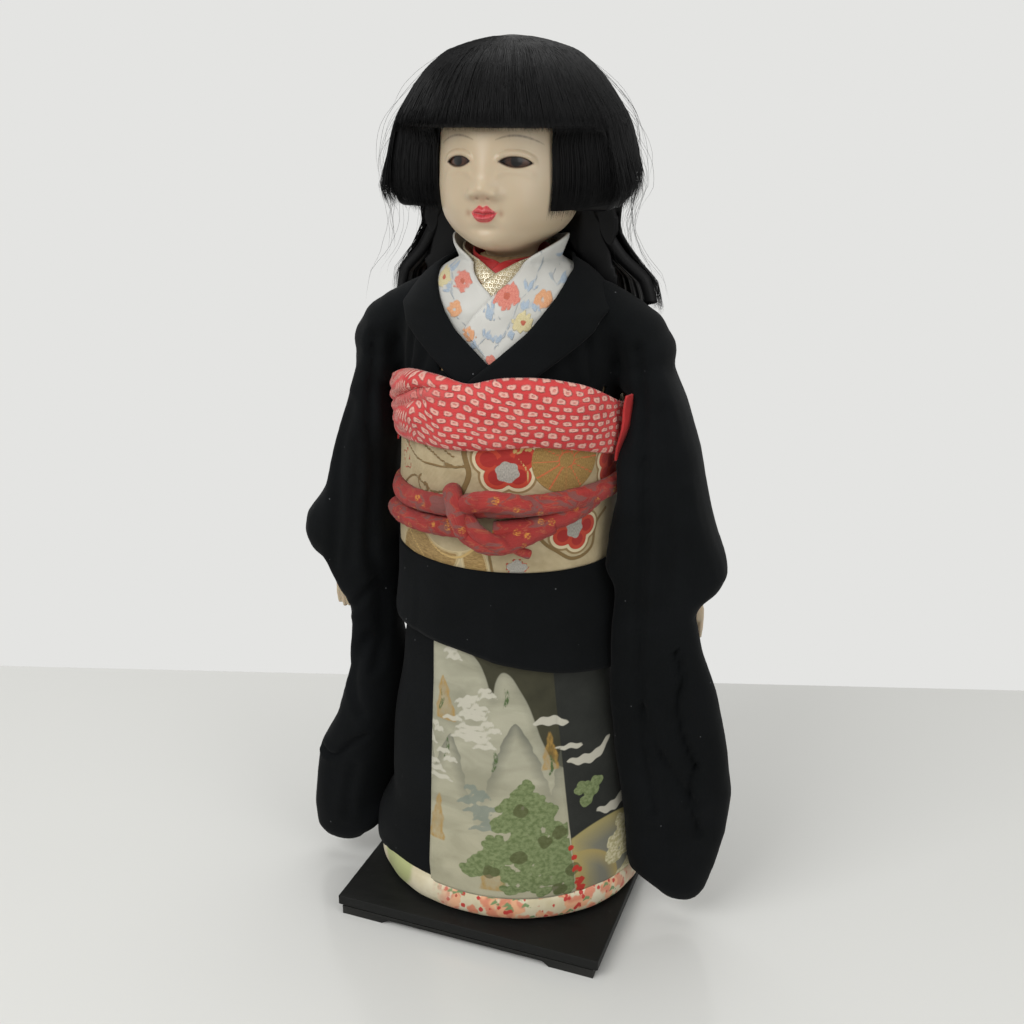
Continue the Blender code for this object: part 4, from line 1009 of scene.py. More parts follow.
SCROLL_CURLS = (
    # centre, size, turns, start and hand of a spiral, and its width
    ((7, 66, 4.0, 1.1, 2.6, -1), 1.0),
    ((13, 67, 3.4, 1.0, 1.0), 1.0),
)


def brocade_motifs(u, v):
    """Woven plum blossoms, chrysanthemum and vines on the sash."""
    plums = [(3, 59, 14, 5, 0.4), (36, 25, 12.5, 5, 1.2), (60, 54, 11, 5, 0.2)]
    plums += [(96, 30, 13, 5, 0.1), (-104, 28, 13, 5, 0.5)]
    silver = union(
        d_circle(u, v, 3.5, 55, 5.2) + 0.4 * np.sin(6 * np.arctan2(v - 55, u - 3.5)),
        d_ellipse(u, v, 36, 25, 4.4, 6.0) + 0.4 * np.sin(6 * np.arctan2(v - 25, u - 36)),
        d_circle(u, v, 96, 30, 5.0),
        d_circle(u, v, -104, 28, 5.0),
        d_flower(u, v, 8, 5, 5.0, 5, 0.3),
    )
    mums = [(30.5, 60, 16.5), (-88, 66, 14), (120, 62, 15), (-140, 40, 15)]
    disc = union(*[d_circle(u, v, *m) for m in mums])
    petals = np.full(np.shape(u), 1e3)
    for x, y, r in mums:
        a = np.arctan2(v - y, u - x)
        d = np.hypot(u - x, v - y)
        wedge = np.abs(((a / TAU * 12) % 1.0) - 0.5) * TAU / 12 * d
        line = np.where(d > r * 0.24, TAU / 24 * d - wedge, 9.0)
        petals = np.minimum(petals, np.maximum(line - 0.45, d - r))
        petals = np.minimum(petals, np.abs(d - r * 0.24) - 0.4)
    gold = union(
        d_ellipse(u, v, -42, 6, 22, 15, 0.3),
        d_ellipse(u, v, -12, 5, 6, 17, 0.2),
        d_ellipse(u, v, 78, 8, 16, 12, -0.3),
        d_ellipse(u, v, -120, 8, 20, 13, 0.2),
    )
    gold = np.maximum(gold, -d_ellipse(u, v, -25, 22, 17, 12))
    outline = union(
        np.abs(d_flower(u, v, 8, 5, 5.4, 5, 0.3)) - 0.35,
        np.abs(d_flower(u, v, -27, 31, 7.0, 3, 1.6)) - 0.35,
        np.abs(d_flower(u, v, -57, 62, 5.0, 4, 0.5)) - 0.3,
        np.abs(d_flower(u, v, -57, 51, 5.0, 4, 1.0)) - 0.3,
    )
    return {
        "red": union(*[d_flower(u, v, *form) for form in plums]),
        "silver": silver,
        "disc": disc,
        "petals": petals,
        "gold": gold,
        "vine": strokes(u, v, VINE_LINES, VINE_CURLS),
        "scroll": strokes(u, v, SCROLL_LINES, SCROLL_CURLS),
        "outline": outline,
    }


def brocade(name):
    """Ribbed gold-white brocade with the sash's motifs in silk and metal thread."""
    paint = Paint(name, rgb(190, 170, 130), 0.55, Sheen_Weight=0.08)
    uv, u, v = paint.uv()
    coords = paint.place()
    rib = paint.sine(v, 0.62)
    thread = paint.sine(u, 0.34)
    wash = paint.noise(paint.scaled(uv, 0.09, 0.09), 1.0, detail=4.0)
    paint.colour = paint.blend(wash, 0.3, 0.7, (176, 158, 120), (206, 190, 152))
    paint.layer(paint.remap(rib, -1.0, 0.2, 0.34, 0.0), rgba(120, 98, 66))
    lame = paint.noise(paint.scaled(uv, 3.2, 0.9), 1.0, detail=2.0)

    vine = paint.shape("vine")
    paint.layer(vine, rgba(137, 110, 62))
    gold_d = paint.value("gold")
    gold = paint.inside(gold_d, soft=0.3)
    streak = paint.noise(paint.scaled(uv, 0.35, 1.6), 1.0, detail=3.0, distortion=1.2)
    gold_tone = paint.blend(streak, 0.35, 0.65, (146, 112, 58), (194, 162, 102))
    paint.layer(gold, gold_tone)
    gold_rim = paint.inside(paint.math("ABSOLUTE", gold_d), 0.7)
    paint.tint(gold_rim, 0.7, (215, 195, 148))

    red_d = paint.value("red")
    red = paint.inside(red_d)
    paint.layer(paint.inside(red_d, 1.6, 0.2), rgba(222, 206, 168))
    paint.layer(red, rgba(178, 36, 28))
    red_rim = paint.times(paint.inside(paint.math("ABSOLUTE", paint.plus(red_d, 1.0)), 1.0), red)
    paint.tint(red_rim, 0.75, (212, 74, 44))
    outer = paint.inside(paint.math("ABSOLUTE", paint.minus(red_d, 2.1)), 0.55)
    paint.tint(outer, 0.9, (140, 112, 66))
    disc = paint.shape("disc")
    paint.layer(disc, paint.blend(lame, 0.3, 0.7, (142, 110, 54), (190, 154, 86)))
    petals = paint.shape("petals")
    paint.layer(petals, rgba(216, 112, 66))
    silver = paint.shape("silver")
    paint.layer(silver, paint.blend(lame, 0.3, 0.7, (158, 154, 144), (206, 202, 190)))
    scroll = paint.shape("scroll")
    paint.layer(scroll, rgba(214, 182, 116))
    outline = paint.shape("outline")
    paint.layer(outline, rgba(206, 70, 50))

    metal = paint.most(disc, gold, silver, scroll)
    paint.set("Metallic", paint.times(metal, 0.3))
    paint.set("Roughness", paint.remap(metal, 0.0, 1.0, 0.62, 0.38))
    raised = paint.plus(paint.most(red, metal), paint.most(vine, outline))
    paint.bump(paint.math("MINIMUM", raised, 1.2), 0.35)
    ribbing = paint.plus(rib, paint.times(thread, paint.remap(raised, 0.0, 1.0, 0.3, 0.9)))
    paint.bump(ribbing, 0.07)
    paint.bump(paint.noise(coords, 900.0, detail=2.0), 0.05)
    return paint.done()


def left_slope(degrees):
    """1 where the scarf and the sash slope down at the doll's left side."""
    return smoothstep(42.0, 84.0, degrees) * smoothstep(140.0, 96.0, degrees)


def make_obi():
    """The stiff sash, pressed in at the sides by the arms."""
    a, s = body_grid(324, 86)
    side = signed_turn(a)
    degrees = np.degrees(side)
    high = OBI_HIGH - 10.0 * left_slope(degrees)
    height = OBI_LOW + (high - OBI_LOW) * s + 0.8 * np.sin(2 * a) * (1 - s)
    crumple = 0.45 * wave_noise(3, side * 9, height / 14.0) * smoothstep(0.5, 1.0, np.abs(side))
    belly = 0.9 * np.sin(math.pi * s) + 0.25 * np.sin(3 * a + 2 * s)
    pleat = 0.9 * np.sin(degrees / 3.6) * bump_at(degrees, -34.0, 16.0) * smoothstep(0.45, 0.75, s)
    edge = -1.4 * (smoothstep(0.03, 0.0, s) + smoothstep(0.97, 1.0, s))
    wider = bump_at(degrees, -92.0, 38.0) * (RIGHT_WIDER * (1.0 - s) ** 0.7 - 2.0 * s)
    offset = OBI_OUT - 0.6 + belly + crumple + edge + pleat - 1.5 * side_share(a) * s + wider
    points = around(a, height, offset)
    u = side * 53.0
    v = height - OBI_LOW
    kind = {"uv": np.stack([u, v], -1), "values": brocade_motifs(u - 6.0, v)}
    faces = grid_faces(*a.shape, True)
    return cloth_piece("sash_band", points, faces, 2.0, brocade("sash_brocade"), "obi", **kind)


def shibori():
    """Dotted tie-dye: pale rings in slanting rows, each on a raised knot of silk, with a painted highlight on
    the ridge between the front folds.
    """
    paint = Paint("dotted_silk", rgb(206, 66, 62), 0.7, Sheen_Weight=0.15)
    uv, u, v = paint.uv()
    coords = paint.place()
    warp = paint.noise(paint.scaled(uv, 0.06, 0.06), 1.0, detail=2.0)
    shift = paint.times(paint.minus(warp, 0.5), 7.0)
    gathered = paint.value("gathered")
    step_u = paint.remap(gathered, 0.0, 1.0, 6.6, 3.6)
    step_v = paint.remap(gathered, 0.0, 1.0, 4.0, 2.6)
    row = paint.math("DIVIDE", paint.plus(v, shift), step_v)
    row_index = paint.math("FLOOR", row)
    along = paint.plus(paint.math("DIVIDE", u, step_u), paint.times(row_index, 0.5))
    cell_u = paint.minus(paint.math("FRACT", along), 0.5)
    cell_v = paint.minus(paint.math("FRACT", row), 0.5)
    ru = paint.math("POWER", paint.math("ABSOLUTE", paint.math("DIVIDE", cell_u, 0.37)), 3.4)
    rv = paint.math("POWER", paint.math("ABSOLUTE", paint.math("DIVIDE", cell_v, 0.36)), 3.4)
    radius = paint.math("POWER", paint.plus(ru, rv), 0.294)
    rough = paint.times(paint.minus(paint.noise(coords, 620.0), 0.5), 0.7)
    ragged = paint.plus(radius, rough)
    spot = paint.remap(ragged, 0.72, 1.05, 1.0, 0.0, smooth=True)
    core = paint.remap(ragged, 0.12, 0.4, 1.0, 0.0, smooth=True)
    tone = paint.noise(paint.scaled(uv, 0.05, 0.08), 1.0, detail=3.0)
    paint.colour = paint.blend(tone, 0.3, 0.7, (186, 34, 38), (208, 64, 62))
    paint.tint(spot, 0.86, (228, 176, 160))
    paint.tint(core, 0.6, (206, 96, 88))
    # Painted highlight: paler red on the ridge between the scarf's two front folds
    paint.layer(paint.times(paint.value("lens"), 0.8), rgba(196, 92, 88))
    knot = paint.minus(spot, paint.times(core, 0.5))
    paint.bump(knot, 0.8)
    paint.bump(paint.noise(paint.scaled(coords, 1.0, 1.0, 3.0), 420.0, detail=3.0), 0.35)
    return paint.done()


def make_obiage():
    """The scarf over the sash's top edge, full in front, with a twist at the doll's right."""
    a, s = body_grid(300, 44)
    side = signed_turn(a)
    degrees = np.degrees(side)
    left = left_slope(degrees)
    top = 291.5 - 6.5 * side_share(a) + 1.6 * np.cos(3 * a) - 9.0 * left
    top += 3.4 * bump_at(degrees, -44, 17) - 3.2 * bump_at(degrees, -8, 10) + 1.6 * bump_at(degrees, 26, 18)
    low = 260.0 - 6.0 * side_share(a) - 1.2 * bump_at(degrees, -20, 22) + 2.4 * bump_at(degrees, 22, 20)
    low = low - 3.0 * left
    thick = 5.7 - 4.4 * side_share(a) + 1.6 * bump_at(degrees, -42, 18) - 2.0 * bump_at(degrees, -88, 30)
    around_section = math.pi * s
    height = (low + top) / 2 + (top - low) / 2 * np.cos(around_section)
    level = (height - low) / (top - low)
    fold_line = 0.72 + 0.17 * np.tanh((degrees + 40.0) / 14.0)
    lens = bump_at(degrees, -36, 17)
    fold = -4.2 * bump_at(level, fold_line, 0.045) - 2.2 * bump_at(level, fold_line - 0.17, 0.05)
    fold += 1.5 * bump_at(level, fold_line + 0.17, 0.1) + 1.2 * bump_at(level, fold_line - 0.36, 0.14)
    gather = 0.7 * np.sin(level * 34 + degrees / 7.0) * bump_at(degrees, -62, 17)
    dimple = 0.45 * wave_noise(11, side * 26, height / 3.2) + 0.7 * wave_noise(5, side * 7, height / 10.0)
    full = np.sin(around_section) ** 0.6
    offset = OBI_OUT + 0.2 + thick * full + (fold * lens + gather + dimple) * full
    points = around(a, height, offset)
    slant = 0.5 * smoothstep(-18.0, -60.0, degrees) * (degrees < 0)
    u = side * GIRTH
    v = height + u * 0.14 + slant * u
    squeeze = smoothstep(-30.0, -66.0, degrees) * (degrees < 0)
    # The value named lens carries the painted highlight on the ridge between the two front folds
    values = {"lens": lens * bump_at(level, fold_line - 0.08, 0.085), "gathered": squeeze}
    kind = {"uv": np.stack([u * 1.14, v * 1.14], -1), "values": values}
    return cloth_piece("dotted_scarf", points, grid_faces(*a.shape, True), 1.0, shibori(), "obiage", **kind)


def cord_cloth():
    """Red cord cloth with mauve patches and gold flecks."""
    paint = Paint("cord_brocade", rgb(146, 32, 28), 0.72, Sheen_Weight=0.08)
    uv, u, v = paint.uv()
    coords = paint.place()
    drift = paint.noise(coords, 55.0, detail=2.0, distortion=2.2)
    paint.colour = paint.blend(drift, 0.3, 0.7, (142, 26, 24), (172, 42, 36))
    cloudy = paint.noise(paint.scaled(coords, 1.0, 1.0, 2.4), 70.0, detail=2.0, distortion=1.2)
    mauve = paint.remap(cloudy, 0.54, 0.57)
    paint.tint(mauve, 0.8, (122, 78, 72))
    vein = paint.remap(paint.math("ABSOLUTE", paint.minus(cloudy, 0.52)), 0.006, 0.012, 1.0, 0.0)
    paint.tint(vein, 0.6, (176, 96, 60))
    spots = paint.cells(coords, 120.0)
    gold = paint.remap(spots, 0.2, 0.26, 1.0, 0.0)
    sparkle = paint.noise(paint.scaled(coords, 1.0, 1.0, 3.0), 700.0, detail=1.0)
    paint.layer(paint.times(gold, paint.remap(sparkle, 0.45, 0.6)), rgba(206, 138, 52))
    twill = paint.math("SINE", paint.times(paint.plus(u, v), TAU / 0.7))
    paint.layer(paint.remap(twill, 0.0, 1.0, 0.0, 0.12), rgba(204, 92, 74))
    paint.bump(twill, 0.1)
    paint.bump(paint.noise(paint.scaled(uv, 0.12, 0.9), 1.0, detail=3.0), 0.7)
    paint.bump(paint.noise(coords, 300.0, detail=3.0), 0.35)
    return paint.done()


def tube_along(name, path, r, sides=20, flat=None):
    """A padded tube along points, with soft wrinkles; flat squeezes it along its outward side."""
    path = np.array(path, float)
    count = len(path)
    ahead = np.gradient(path, axis=0)
    ahead /= np.linalg.norm(ahead, axis=1)[:, None]
    points, uv = [], []
    length = arc_length(path)
    for i in range(count):
        outward = np.array([path[i][0], path[i][1], 0.0])
        outward /= np.linalg.norm(outward)
        outward -= ahead[i] * outward.dot(ahead[i])
        outward /= np.linalg.norm(outward)
        up = np.cross(ahead[i], outward)
        squeeze = 1.0 if flat is None else flat[i]
        for k in range(sides + 1):
            angle = TAU * k / sides
            wrinkle = 1.0 + 0.025 * math.sin(length[i] * 1.3 + 2 * angle)
            wrinkle += 0.02 * math.sin(length[i] * 0.6 - angle)
            spoke = outward * math.cos(angle) * squeeze + up * math.sin(angle)
            points.append(path[i] + spoke * r * wrinkle)
            uv.append((length[i], TAU * r * k / sides))
    obj = new_object(name, points, grid_faces(count, sides + 1), uv=uv)
    bm = bmesh.new()
    bm.from_mesh(obj.data)
    bmesh.ops.remove_doubles(bm, verts=bm.verts, dist=1e-6)
    bmesh.ops.holes_fill(bm, edges=bm.edges, sides=sides + 2)
    bmesh.ops.recalc_face_normals(bm, faces=bm.faces)
    bm.to_mesh(obj.data)
    bm.free()
    obj.data.shade_smooth()
    return obj


CORD_RADIUS = 5.2
CORD_HEIGHT = 229.0


def cord_offset():
    return OBI_OUT + 0.3 + CORD_RADIUS


def cord_points(start, end, drop, out=0.0, steps=60):
    """A strand of the sash cord round the body; it climbs toward the doll's left."""
    degrees = np.linspace(start, end, steps)
    a = np.radians(degrees)
    height = CORD_HEIGHT + 4.5 * (1.0 + np.sin(a)) - 1.5 - drop
    return around(a, height, cord_offset() + out - 2.4 * side_share(a))


def side_flat(path):
    """How much the cord is pressed flat at the doll's sides."""
    outward = path[:, 0] / np.hypot(path[:, 0], path[:, 1])
    return 1.0 - 0.4 * outward**4


def make_cord():
    """The sash cord: a ring, its two tails and the strands of its knot."""
    ring = cord_points(-176.0, 176.0, 0.0, steps=200)
    flat = side_flat(ring)
    away = ring.copy()
    away[:, 2] = 0.0
    away /= np.linalg.norm(away, axis=1)[:, None]
    ring = ring - away * (CORD_RADIUS * (1.0 - flat))[:, None]
    strands = [tube_along("cord_ring", ring, CORD_RADIUS, flat=flat)]
    share = np.linspace(0.0, 1.0, 60)
    left = cord_points(5.0, 56.0, 12.0 - 8.5 * share**1.5, out=-4.5 * share**3)
    right = cord_points(-66.0, -8.0, 11.0)
    for name, path in (("cord_tail_left", left), ("cord_tail_right", right)):
        strands.append(tube_along(name, path, 5.0))
    x0, h0 = 3.0, CORD_HEIGHT - 1.0
    front = around(0.0, h0, cord_offset())[1]
    knots = {
        "cord_wrap": (4.7, [(-20, 9, 3), (-17.5, 8, -3), (-14.5, 2, -7), (-11.5, -5, -7), (-9, -11, -2.5)]),
        "cord_over": (
            5.1,
            [(-15, 1, -2), (-9, 6.5, -4.5), (-1, 9.0, -5), (8, 8.5, -4.5), (17, 6.5, -2.5), (27, 6.0, 0.3)],
        ),
        "cord_under": (
            5.2,
            [(-13, -4, -2), (-7, -9.5, -5), (1, -12.5, -5.5), (9, -12, -4.5), (18, -8.5, -2), (29, -4, 0.3)],
        ),
        "cord_twist": (3.8, [(-10, 0, -5), (-4, -5.5, -8), (2, -9, -8.5), (8, -12, -7.5), (13, -13, -4)]),
        "cord_end": (2.4, [(11, -13, -3), (15, -16, -3.5), (19.5, -18.5, -2.5)]),
    }
    for name, (r, places) in knots.items():
        path = [(x0 + x, front + y + (x0 + x) ** 2 / 130.0, h0 + z) for x, z, y in places]
        strands.append(tube_along(name, spline(path, 9), r))
    cloth = cord_cloth()
    for strand in strands:
        wear(strand, cloth)
        place(strand, slot="obijime")
    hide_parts("obijime")
    return strands


# Pieces shaped from their own solids


def remeshed(name, nodes, voxel, smooth=6, fillers=()):
    """A new even mesh over CAD nodes and fillers, rounded a little; it is one closed skin.

    A filler is an ellipsoid: x, y, height, then its three half sizes.
    """
    bm = bmesh.new()
    for node in nodes:
        bm.from_mesh(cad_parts[node].data)
    for x, y, h, rx, ry, rz in fillers:
        centre = Vector((x + CENTRE_X, y, h + STAND_TOP)) * MM
        shape = Matrix.Translation(centre) @ Matrix.Diagonal((rx * MM, ry * MM, rz * MM, 1.0))
        bmesh.ops.create_uvsphere(bm, u_segments=24, v_segments=16, radius=1.0, matrix=shape)
    mesh = bpy.data.meshes.new(name)
    bm.to_mesh(mesh)
    bm.free()
    obj = bpy.data.objects.new(name, mesh)
    bpy.context.scene.collection.objects.link(obj)
    modifier = obj.modifiers.new("remesh", "REMESH")
    modifier.mode = "VOXEL"
    modifier.voxel_size = voxel * MM
    rounder = obj.modifiers.new("round", "SMOOTH")
    rounder.iterations = smooth
    rounder.factor = 0.6
    apply_modifiers(obj)
    obj.data.shade_smooth()
    return obj


OUTERMOST = (
    # height, how far the outermost layer stands out from the padded form
    (10.0, 3.2),
    (60.0, 3.4),
    (100.0, 4.4),
    (128.0, 5.4),
    (136.0, 8.6),
    (192.0, 8.6),
    (198.0, 9.6),
    (220.0, 10.0),
    (226.0, 13.0),
    (240.0, 13.0),
    (248.0, 10.0),
    (262.0, 9.6),
    (290.0, 8.0),
)
SHOULDER_FILL = (
    # x, height and radius of what rounds the shoulder from the collar to the sleeve
    (40.0, 326.0, 9.5),
    (46.0, 322.0, 10.5),
    (52.0, 318.0, 11.5),
    (58.0, 313.5, 12.5),
    (64.0, 308.0, 13.5),
    (68.0, 300.0, 14.0),
    (68.0, 290.0, 14.0),
)


def lean_in(points):
    """Brings each sleeve to rest against the skirt and the sash, and lifts the cuffs a little."""
    x, y, h = points.T
    side = np.sign(x)
    table = np.array(OUTERMOST)
    half, front, back = sizes_at(FORM, h)
    out = np.interp(h, table[:, 0], table[:, 1])
    out = out + RIGHT_WIDER * (side < 0) * smoothstep(112.0, 140.0, h) * smoothstep(262.0, 200.0, h)
    depth = np.where(y < 0, front, back) + out
    away = np.abs(x) - (half + out) * np.sqrt(np.clip(1.0 - (y / depth) ** 2, 0.05, 1.0))
    moved = points.copy()
    levels = np.arange(4.0, 292.0, 4.0)
    near = (away > -1.0) & (y > -34.0) & (y < 12.0)
    for sign in (-1.0, 1.0):
        own = near & (side == sign)
        gaps = np.zeros(len(levels))
        for k, level in enumerate(levels):
            here = own & (np.abs(h - level) < 5.0)
            gaps[k] = np.percentile(away[here], 3) if here.sum() > 8 else 0.0
        gaps = np.convolve(np.pad(gaps, 2, "edge"), np.ones(5) / 5, "valid")
        gap = np.interp(h, levels, gaps) - 0.5
        pull = np.clip(gap, 0.0, 14.0) * smoothstep(42.0, 6.0, away) * smoothstep(6.0, 20.0, h)
        moved[:, 0] -= sign * pull * (side == sign) * (away > -1.0)
    inner = (away > -1.0) * smoothstep(26.0, 4.0, away) * (side < 0)
    moved[:, 1] += 17.0 * inner * smoothstep(12.0, 34.0, h) * smoothstep(192.0, 170.0, h)
    moved[:, 1] += 6.0 * inner * smoothstep(170.0, 192.0, h) * smoothstep(262.0, 240.0, h)
    ahead = (away > -1.0) * smoothstep(26.0, 4.0, away) * (side > 0)
    waist = ahead * smoothstep(180.0, 196.0, h) * smoothstep(268.0, 246.0, h)
    moved[:, 1] -= 8.0 * waist
    moved[:, 0] -= 4.5 * waist * smoothstep(-2.0, -14.0, y)
    far = smoothstep(84.0, 104.0, np.abs(x)) * smoothstep(150.0, 164.0, h)
    moved[:, 2] += np.where(side < 0, 15.0, 9.0) * far * smoothstep(228.0, 184.0, h)
    moved[:, 0] += 5.0 * far * smoothstep(290.0, 220.0, h) * (side < 0)
    return moved


def make_upper():
    """The kimono's upper part: bodice, shoulders and the two long sleeves, sewn as one."""
    fillers = []
    for sign in (-1.0, 1.0):
        fillers += [(sign * x, 1.0, h, r, r * 1.55, r) for x, h, r in SHOULDER_FILL]
    nodes = ["kimono_bodice", "kimono_sleeve_left", "kimono_sleeve_right"]
    upper = remeshed("kimono_upper_cloth", nodes, 2.25, 3, fillers)
    points, normals = coordinates(upper)
    write_points(upper, lean_in(points))
    points, normals = coordinates(upper)
    x, y, h = points.T
    beyond = smoothstep(54.0, 62.0, np.abs(x))
    push = np.zeros(len(points))
    for creases in (LEFT_CREASES, RIGHT_CREASES, BODICE_CREASES):
        for line, width, depth in creases:
            push -= crease(points, normals, line, width, depth)
    push += 0.8 * beyond * wave_noise(7, x / 16.0, y / 16.0, h / 34.0)
    push += 0.3 * wave_noise(8, x / 5.0, y / 6.0, h / 12.0)
    write_points(upper, points + normals * push[:, None])
    wear(upper, black_crepe())
    return place(upper, *nodes)


def apply_modifiers(obj):
    """Makes a piece's modifiers part of its mesh."""
    graph = bpy.context.evaluated_depsgraph_get()
    graph.update()
    done = bpy.data.meshes.new_from_object(obj.evaluated_get(graph))
    obj.modifiers.clear()
    obj.data = done
    return obj


def coordinates(obj):
    """Points and normals of a mesh, in the doll's own millimetres."""
    mesh = obj.data
    points = np.empty(len(mesh.vertices) * 3)
    normals = np.empty(len(mesh.vertices) * 3, np.float32)
    mesh.vertices.foreach_get("co", points)
    mesh.vertex_normals.foreach_get("vector", normals)
    points = points.reshape(-1, 3) / MM - np.array([CENTRE_X, 0.0, STAND_TOP])
    return points, normals.reshape(-1, 3).astype(float)


def write_points(obj, points):
    world = (points + np.array([CENTRE_X, 0.0, STAND_TOP])) * MM
    obj.data.vertices.foreach_set("co", world.astype(np.float32).ravel())
    obj.data.update()


def crease(points, normals, line, width, depth, facing=-1.0):
    """A crease along a line of (x, height) points, cut from the front or the back."""
    d = d_line(points[:, 0], points[:, 2], spline(line, 5), 0.0)
    seen = smoothstep(0.15, 0.6, normals[:, 1] * facing)
    across = d / width
    return seen * depth * (np.exp(-(across**2)) - 0.35 * np.exp(-((across - 1.9) ** 2)))


LEFT_CREASES = (
    # points as (x, height) seen from the front, half width, depth
    ([(66, 305), (70, 280), (72, 250), (74, 215), (74, 170), (78, 110), (86, 60)], 2.2, 2.4),
    ([(78, 276), (84, 240), (86, 205), (84, 178)], 3.2, 1.6),
    ([(92, 236), (96, 205), (99, 186)], 3.0, 1.2),
    ([(93, 155), (97, 140), (95, 128), (99, 108), (106, 92)], 1.5, 3.0),
    ([(78, 122), (84, 104), (96, 84), (107, 70)], 2.4, 2.2),
    ([(106, 92), (104, 74), (110, 52)], 1.6, 2.4),
    ([(88, 96), (92, 66), (96, 36)], 3.0, 1.2),
)
RIGHT_CREASES = (
    ([(-66, 305), (-69, 270), (-70, 235), (-72, 200), (-70, 165), (-72, 120)], 2.4, 2.2),
    ([(-80, 270), (-86, 240), (-88, 205), (-90, 185)], 3.2, 1.5),
    ([(-76, 250), (-78, 215), (-82, 186)], 2.6, 1.4),
    ([(-72, 172), (-80, 160), (-86, 152)], 1.8, 1.8),
    ([(-76, 140), (-84, 112), (-80, 92)], 2.4, 1.8),
    ([(-108, 66), (-98, 62), (-88, 72), (-80, 78)], 1.7, 2.6),
    ([(-86, 58), (-90, 40), (-92, 24)], 2.4, 1.6),
)


BODICE_CREASES = (
    ([(40, 322), (44, 305), (46, 290)], 1.6, 1.6),
    ([(-40, 322), (-44, 305), (-47, 290)], 1.6, 1.6),
    ([(30, 312), (36, 300), (40, 288)], 2.4, 1.0),
    ([(-30, 312), (-35, 300), (-40, 288)], 2.4, 1.0),
)


def make_knot():
    """The drum knot at the back, with two folds."""
    knot = remeshed("sash_knot", ["obi_knot"], 1.8, 4)
    points, normals = coordinates(knot)
    x, _, h = points.T
    push = 0.6 * wave_noise(31, x / 14.0, h / 18.0)
    push -= 2.4 * bump_at(h, 222.0 + 1.5 * np.sin(x / 12.0), 1.6) * (normals[:, 1] > 0.2)
    push -= 1.6 * bump_at(h, 276.0, 2.2) * (normals[:, 1] > 0.2)
    write_points(knot, points + normals * push[:, None])
    write_uv(knot.data, np.stack([x, h - OBI_LOW], -1))
    write_values(knot.data, brocade_motifs(x * 1.25 + 4, h - OBI_LOW))
    wear(knot, brocade("knot_brocade"))
    return place(knot, "obi_knot")


# Collars


RED_ROWS = (
    # angle, height and offset of the inner edge, then of the outer edge, and how it falls
    (180, 350.0, 0.6, 180, 342.0, 0.8, 1.0),
    (120, 349.5, 0.6, 120, 341.5, 0.8, 1.0),
    (90, 348.5, 0.6, 90, 341.0, 0.8, 1.0),
    (50, 346.3, 1.2, 56, 340.0, 0.8, 1.0),
    (17, 345.2, 4.6, 30, 338.5, 0.8, 1.2),
    (0, 343.4, 5.4, 8, 336.5, 0.8, 1.2),
    (-9, 339.6, 2.6, -4, 333.5, 0.8, 1.2),
)
GOLD_ROWS = (
    (180, 351.0, 5.8, 180, 336.0, 0.8, 1.0),
    (120, 351.0, 5.8, 120, 336.0, 0.8, 1.0),
    (90, 350.5, 5.6, 90, 336.0, 0.8, 1.0),
    (46, 347.5, 7.4, 52, 334.0, 0.8, 1.0),
    (19, 344.5, 10.2, 30, 331.0, 0.8, 1.0),
    (0, 339.5, 8.0, 12, 326.0, 0.8, 1.0),
    (-10, 333.5, 5.0, -2, 322.0, 0.8, 1.0),
)
WHITE_ROWS = (
    (180, 351.0, 10.0, 180, 331.0, 0.8, 1.0),
    (120, 354.0, 10.0, 120, 331.0, 0.8, 1.0),
    (90, 355.0, 10.2, 90, 331.0, 0.8, 1.0),
    (61, 352.5, 11.4, 58, 327.5, 0.8, 1.0),
    (29, 346.5, 13.6, 36, 318.0, 0.8, 1.6),
    (6, 334.0, 8.0, 22, 308.0, 0.8, 2.0),
    (-4, 326.0, 5.0, 10, 300.5, 0.8, 2.0),
    (-13, 314.5, 2.0, 2, 296.5, 0.8, 2.0),
)
BLACK_ROWS = (
    (180, 345.5, 12.0, 180, 324.0, 3.5, 1.4),
    (120, 345.5, 12.2, 120, 324.5, 3.5, 1.4),
    (90, 344.0, 12.4, 90, 325.5, 3.5, 1.4),
    (52, 337.0, 7.4, 64, 320.5, 3.5, 1.2),
    (29, 325.5, 4.8, 48, 311.0, 3.5, 1.0),
    (16, 313.5, 3.9, 31, 300.0, 3.5, 1.0),
    (3, 301.5, 3.5, 18, 291.0, 3.5, 1.0),
    (-9, 291.0, 3.5, 5, 285.5, 3.5, 1.0),
)


def make_collar(name, rows, thick, material, node, stitch=None):
    """A band of cloth round the neck whose ends cross in front, the doll's left side over."""
    right = [(-a, h, o, -b, g, p, fall, 0.0) for a, h, o, b, g, p, fall in reversed(rows)]
    left = [(a - 360, h, o, b - 360, g, p, fall, 1.0) for a, h, o, b, g, p, fall in rows[1:]]
    fine = np.array(spline(right + left, 9))
    row, s = np.meshgrid(np.arange(len(fine)), np.linspace(0.0, 1.0, 24), indexing="ij")
    r = np.moveaxis(fine[row], -1, 0)
    angle = np.radians(r[0] + (r[3] - r[0]) * s)
    height = r[1] + (r[4] - r[1]) * s
    offset = r[5] + (r[2] - r[5]) * (1.0 - s) ** r[6]
    front = np.clip(np.cos(np.clip(np.abs(signed_turn(angle % TAU)) * 1.6, 0.0, math.pi / 2)), 0, 1)
    lift = r[7] * (thick + 0.3) * front
    roll = 0.5 * thick * (smoothstep(0.08, 0.0, s) + smoothstep(0.94, 1.0, s))
    points = around(angle, height, offset + lift + thick - roll)
    v = arc_length(points)
    u = np.swapaxes(arc_length(np.swapaxes(points, 0, 1)), 0, 1)
    u = (u - u[-1:]).mean(1, keepdims=True) * np.ones_like(s)
    values = stitch(v, points) if stitch else None
    kind = {"uv": np.stack([u, v], -1), "values": values}
    return cloth_piece(name, points, grid_faces(*s.shape), thick * 0.85, material, node, **kind)


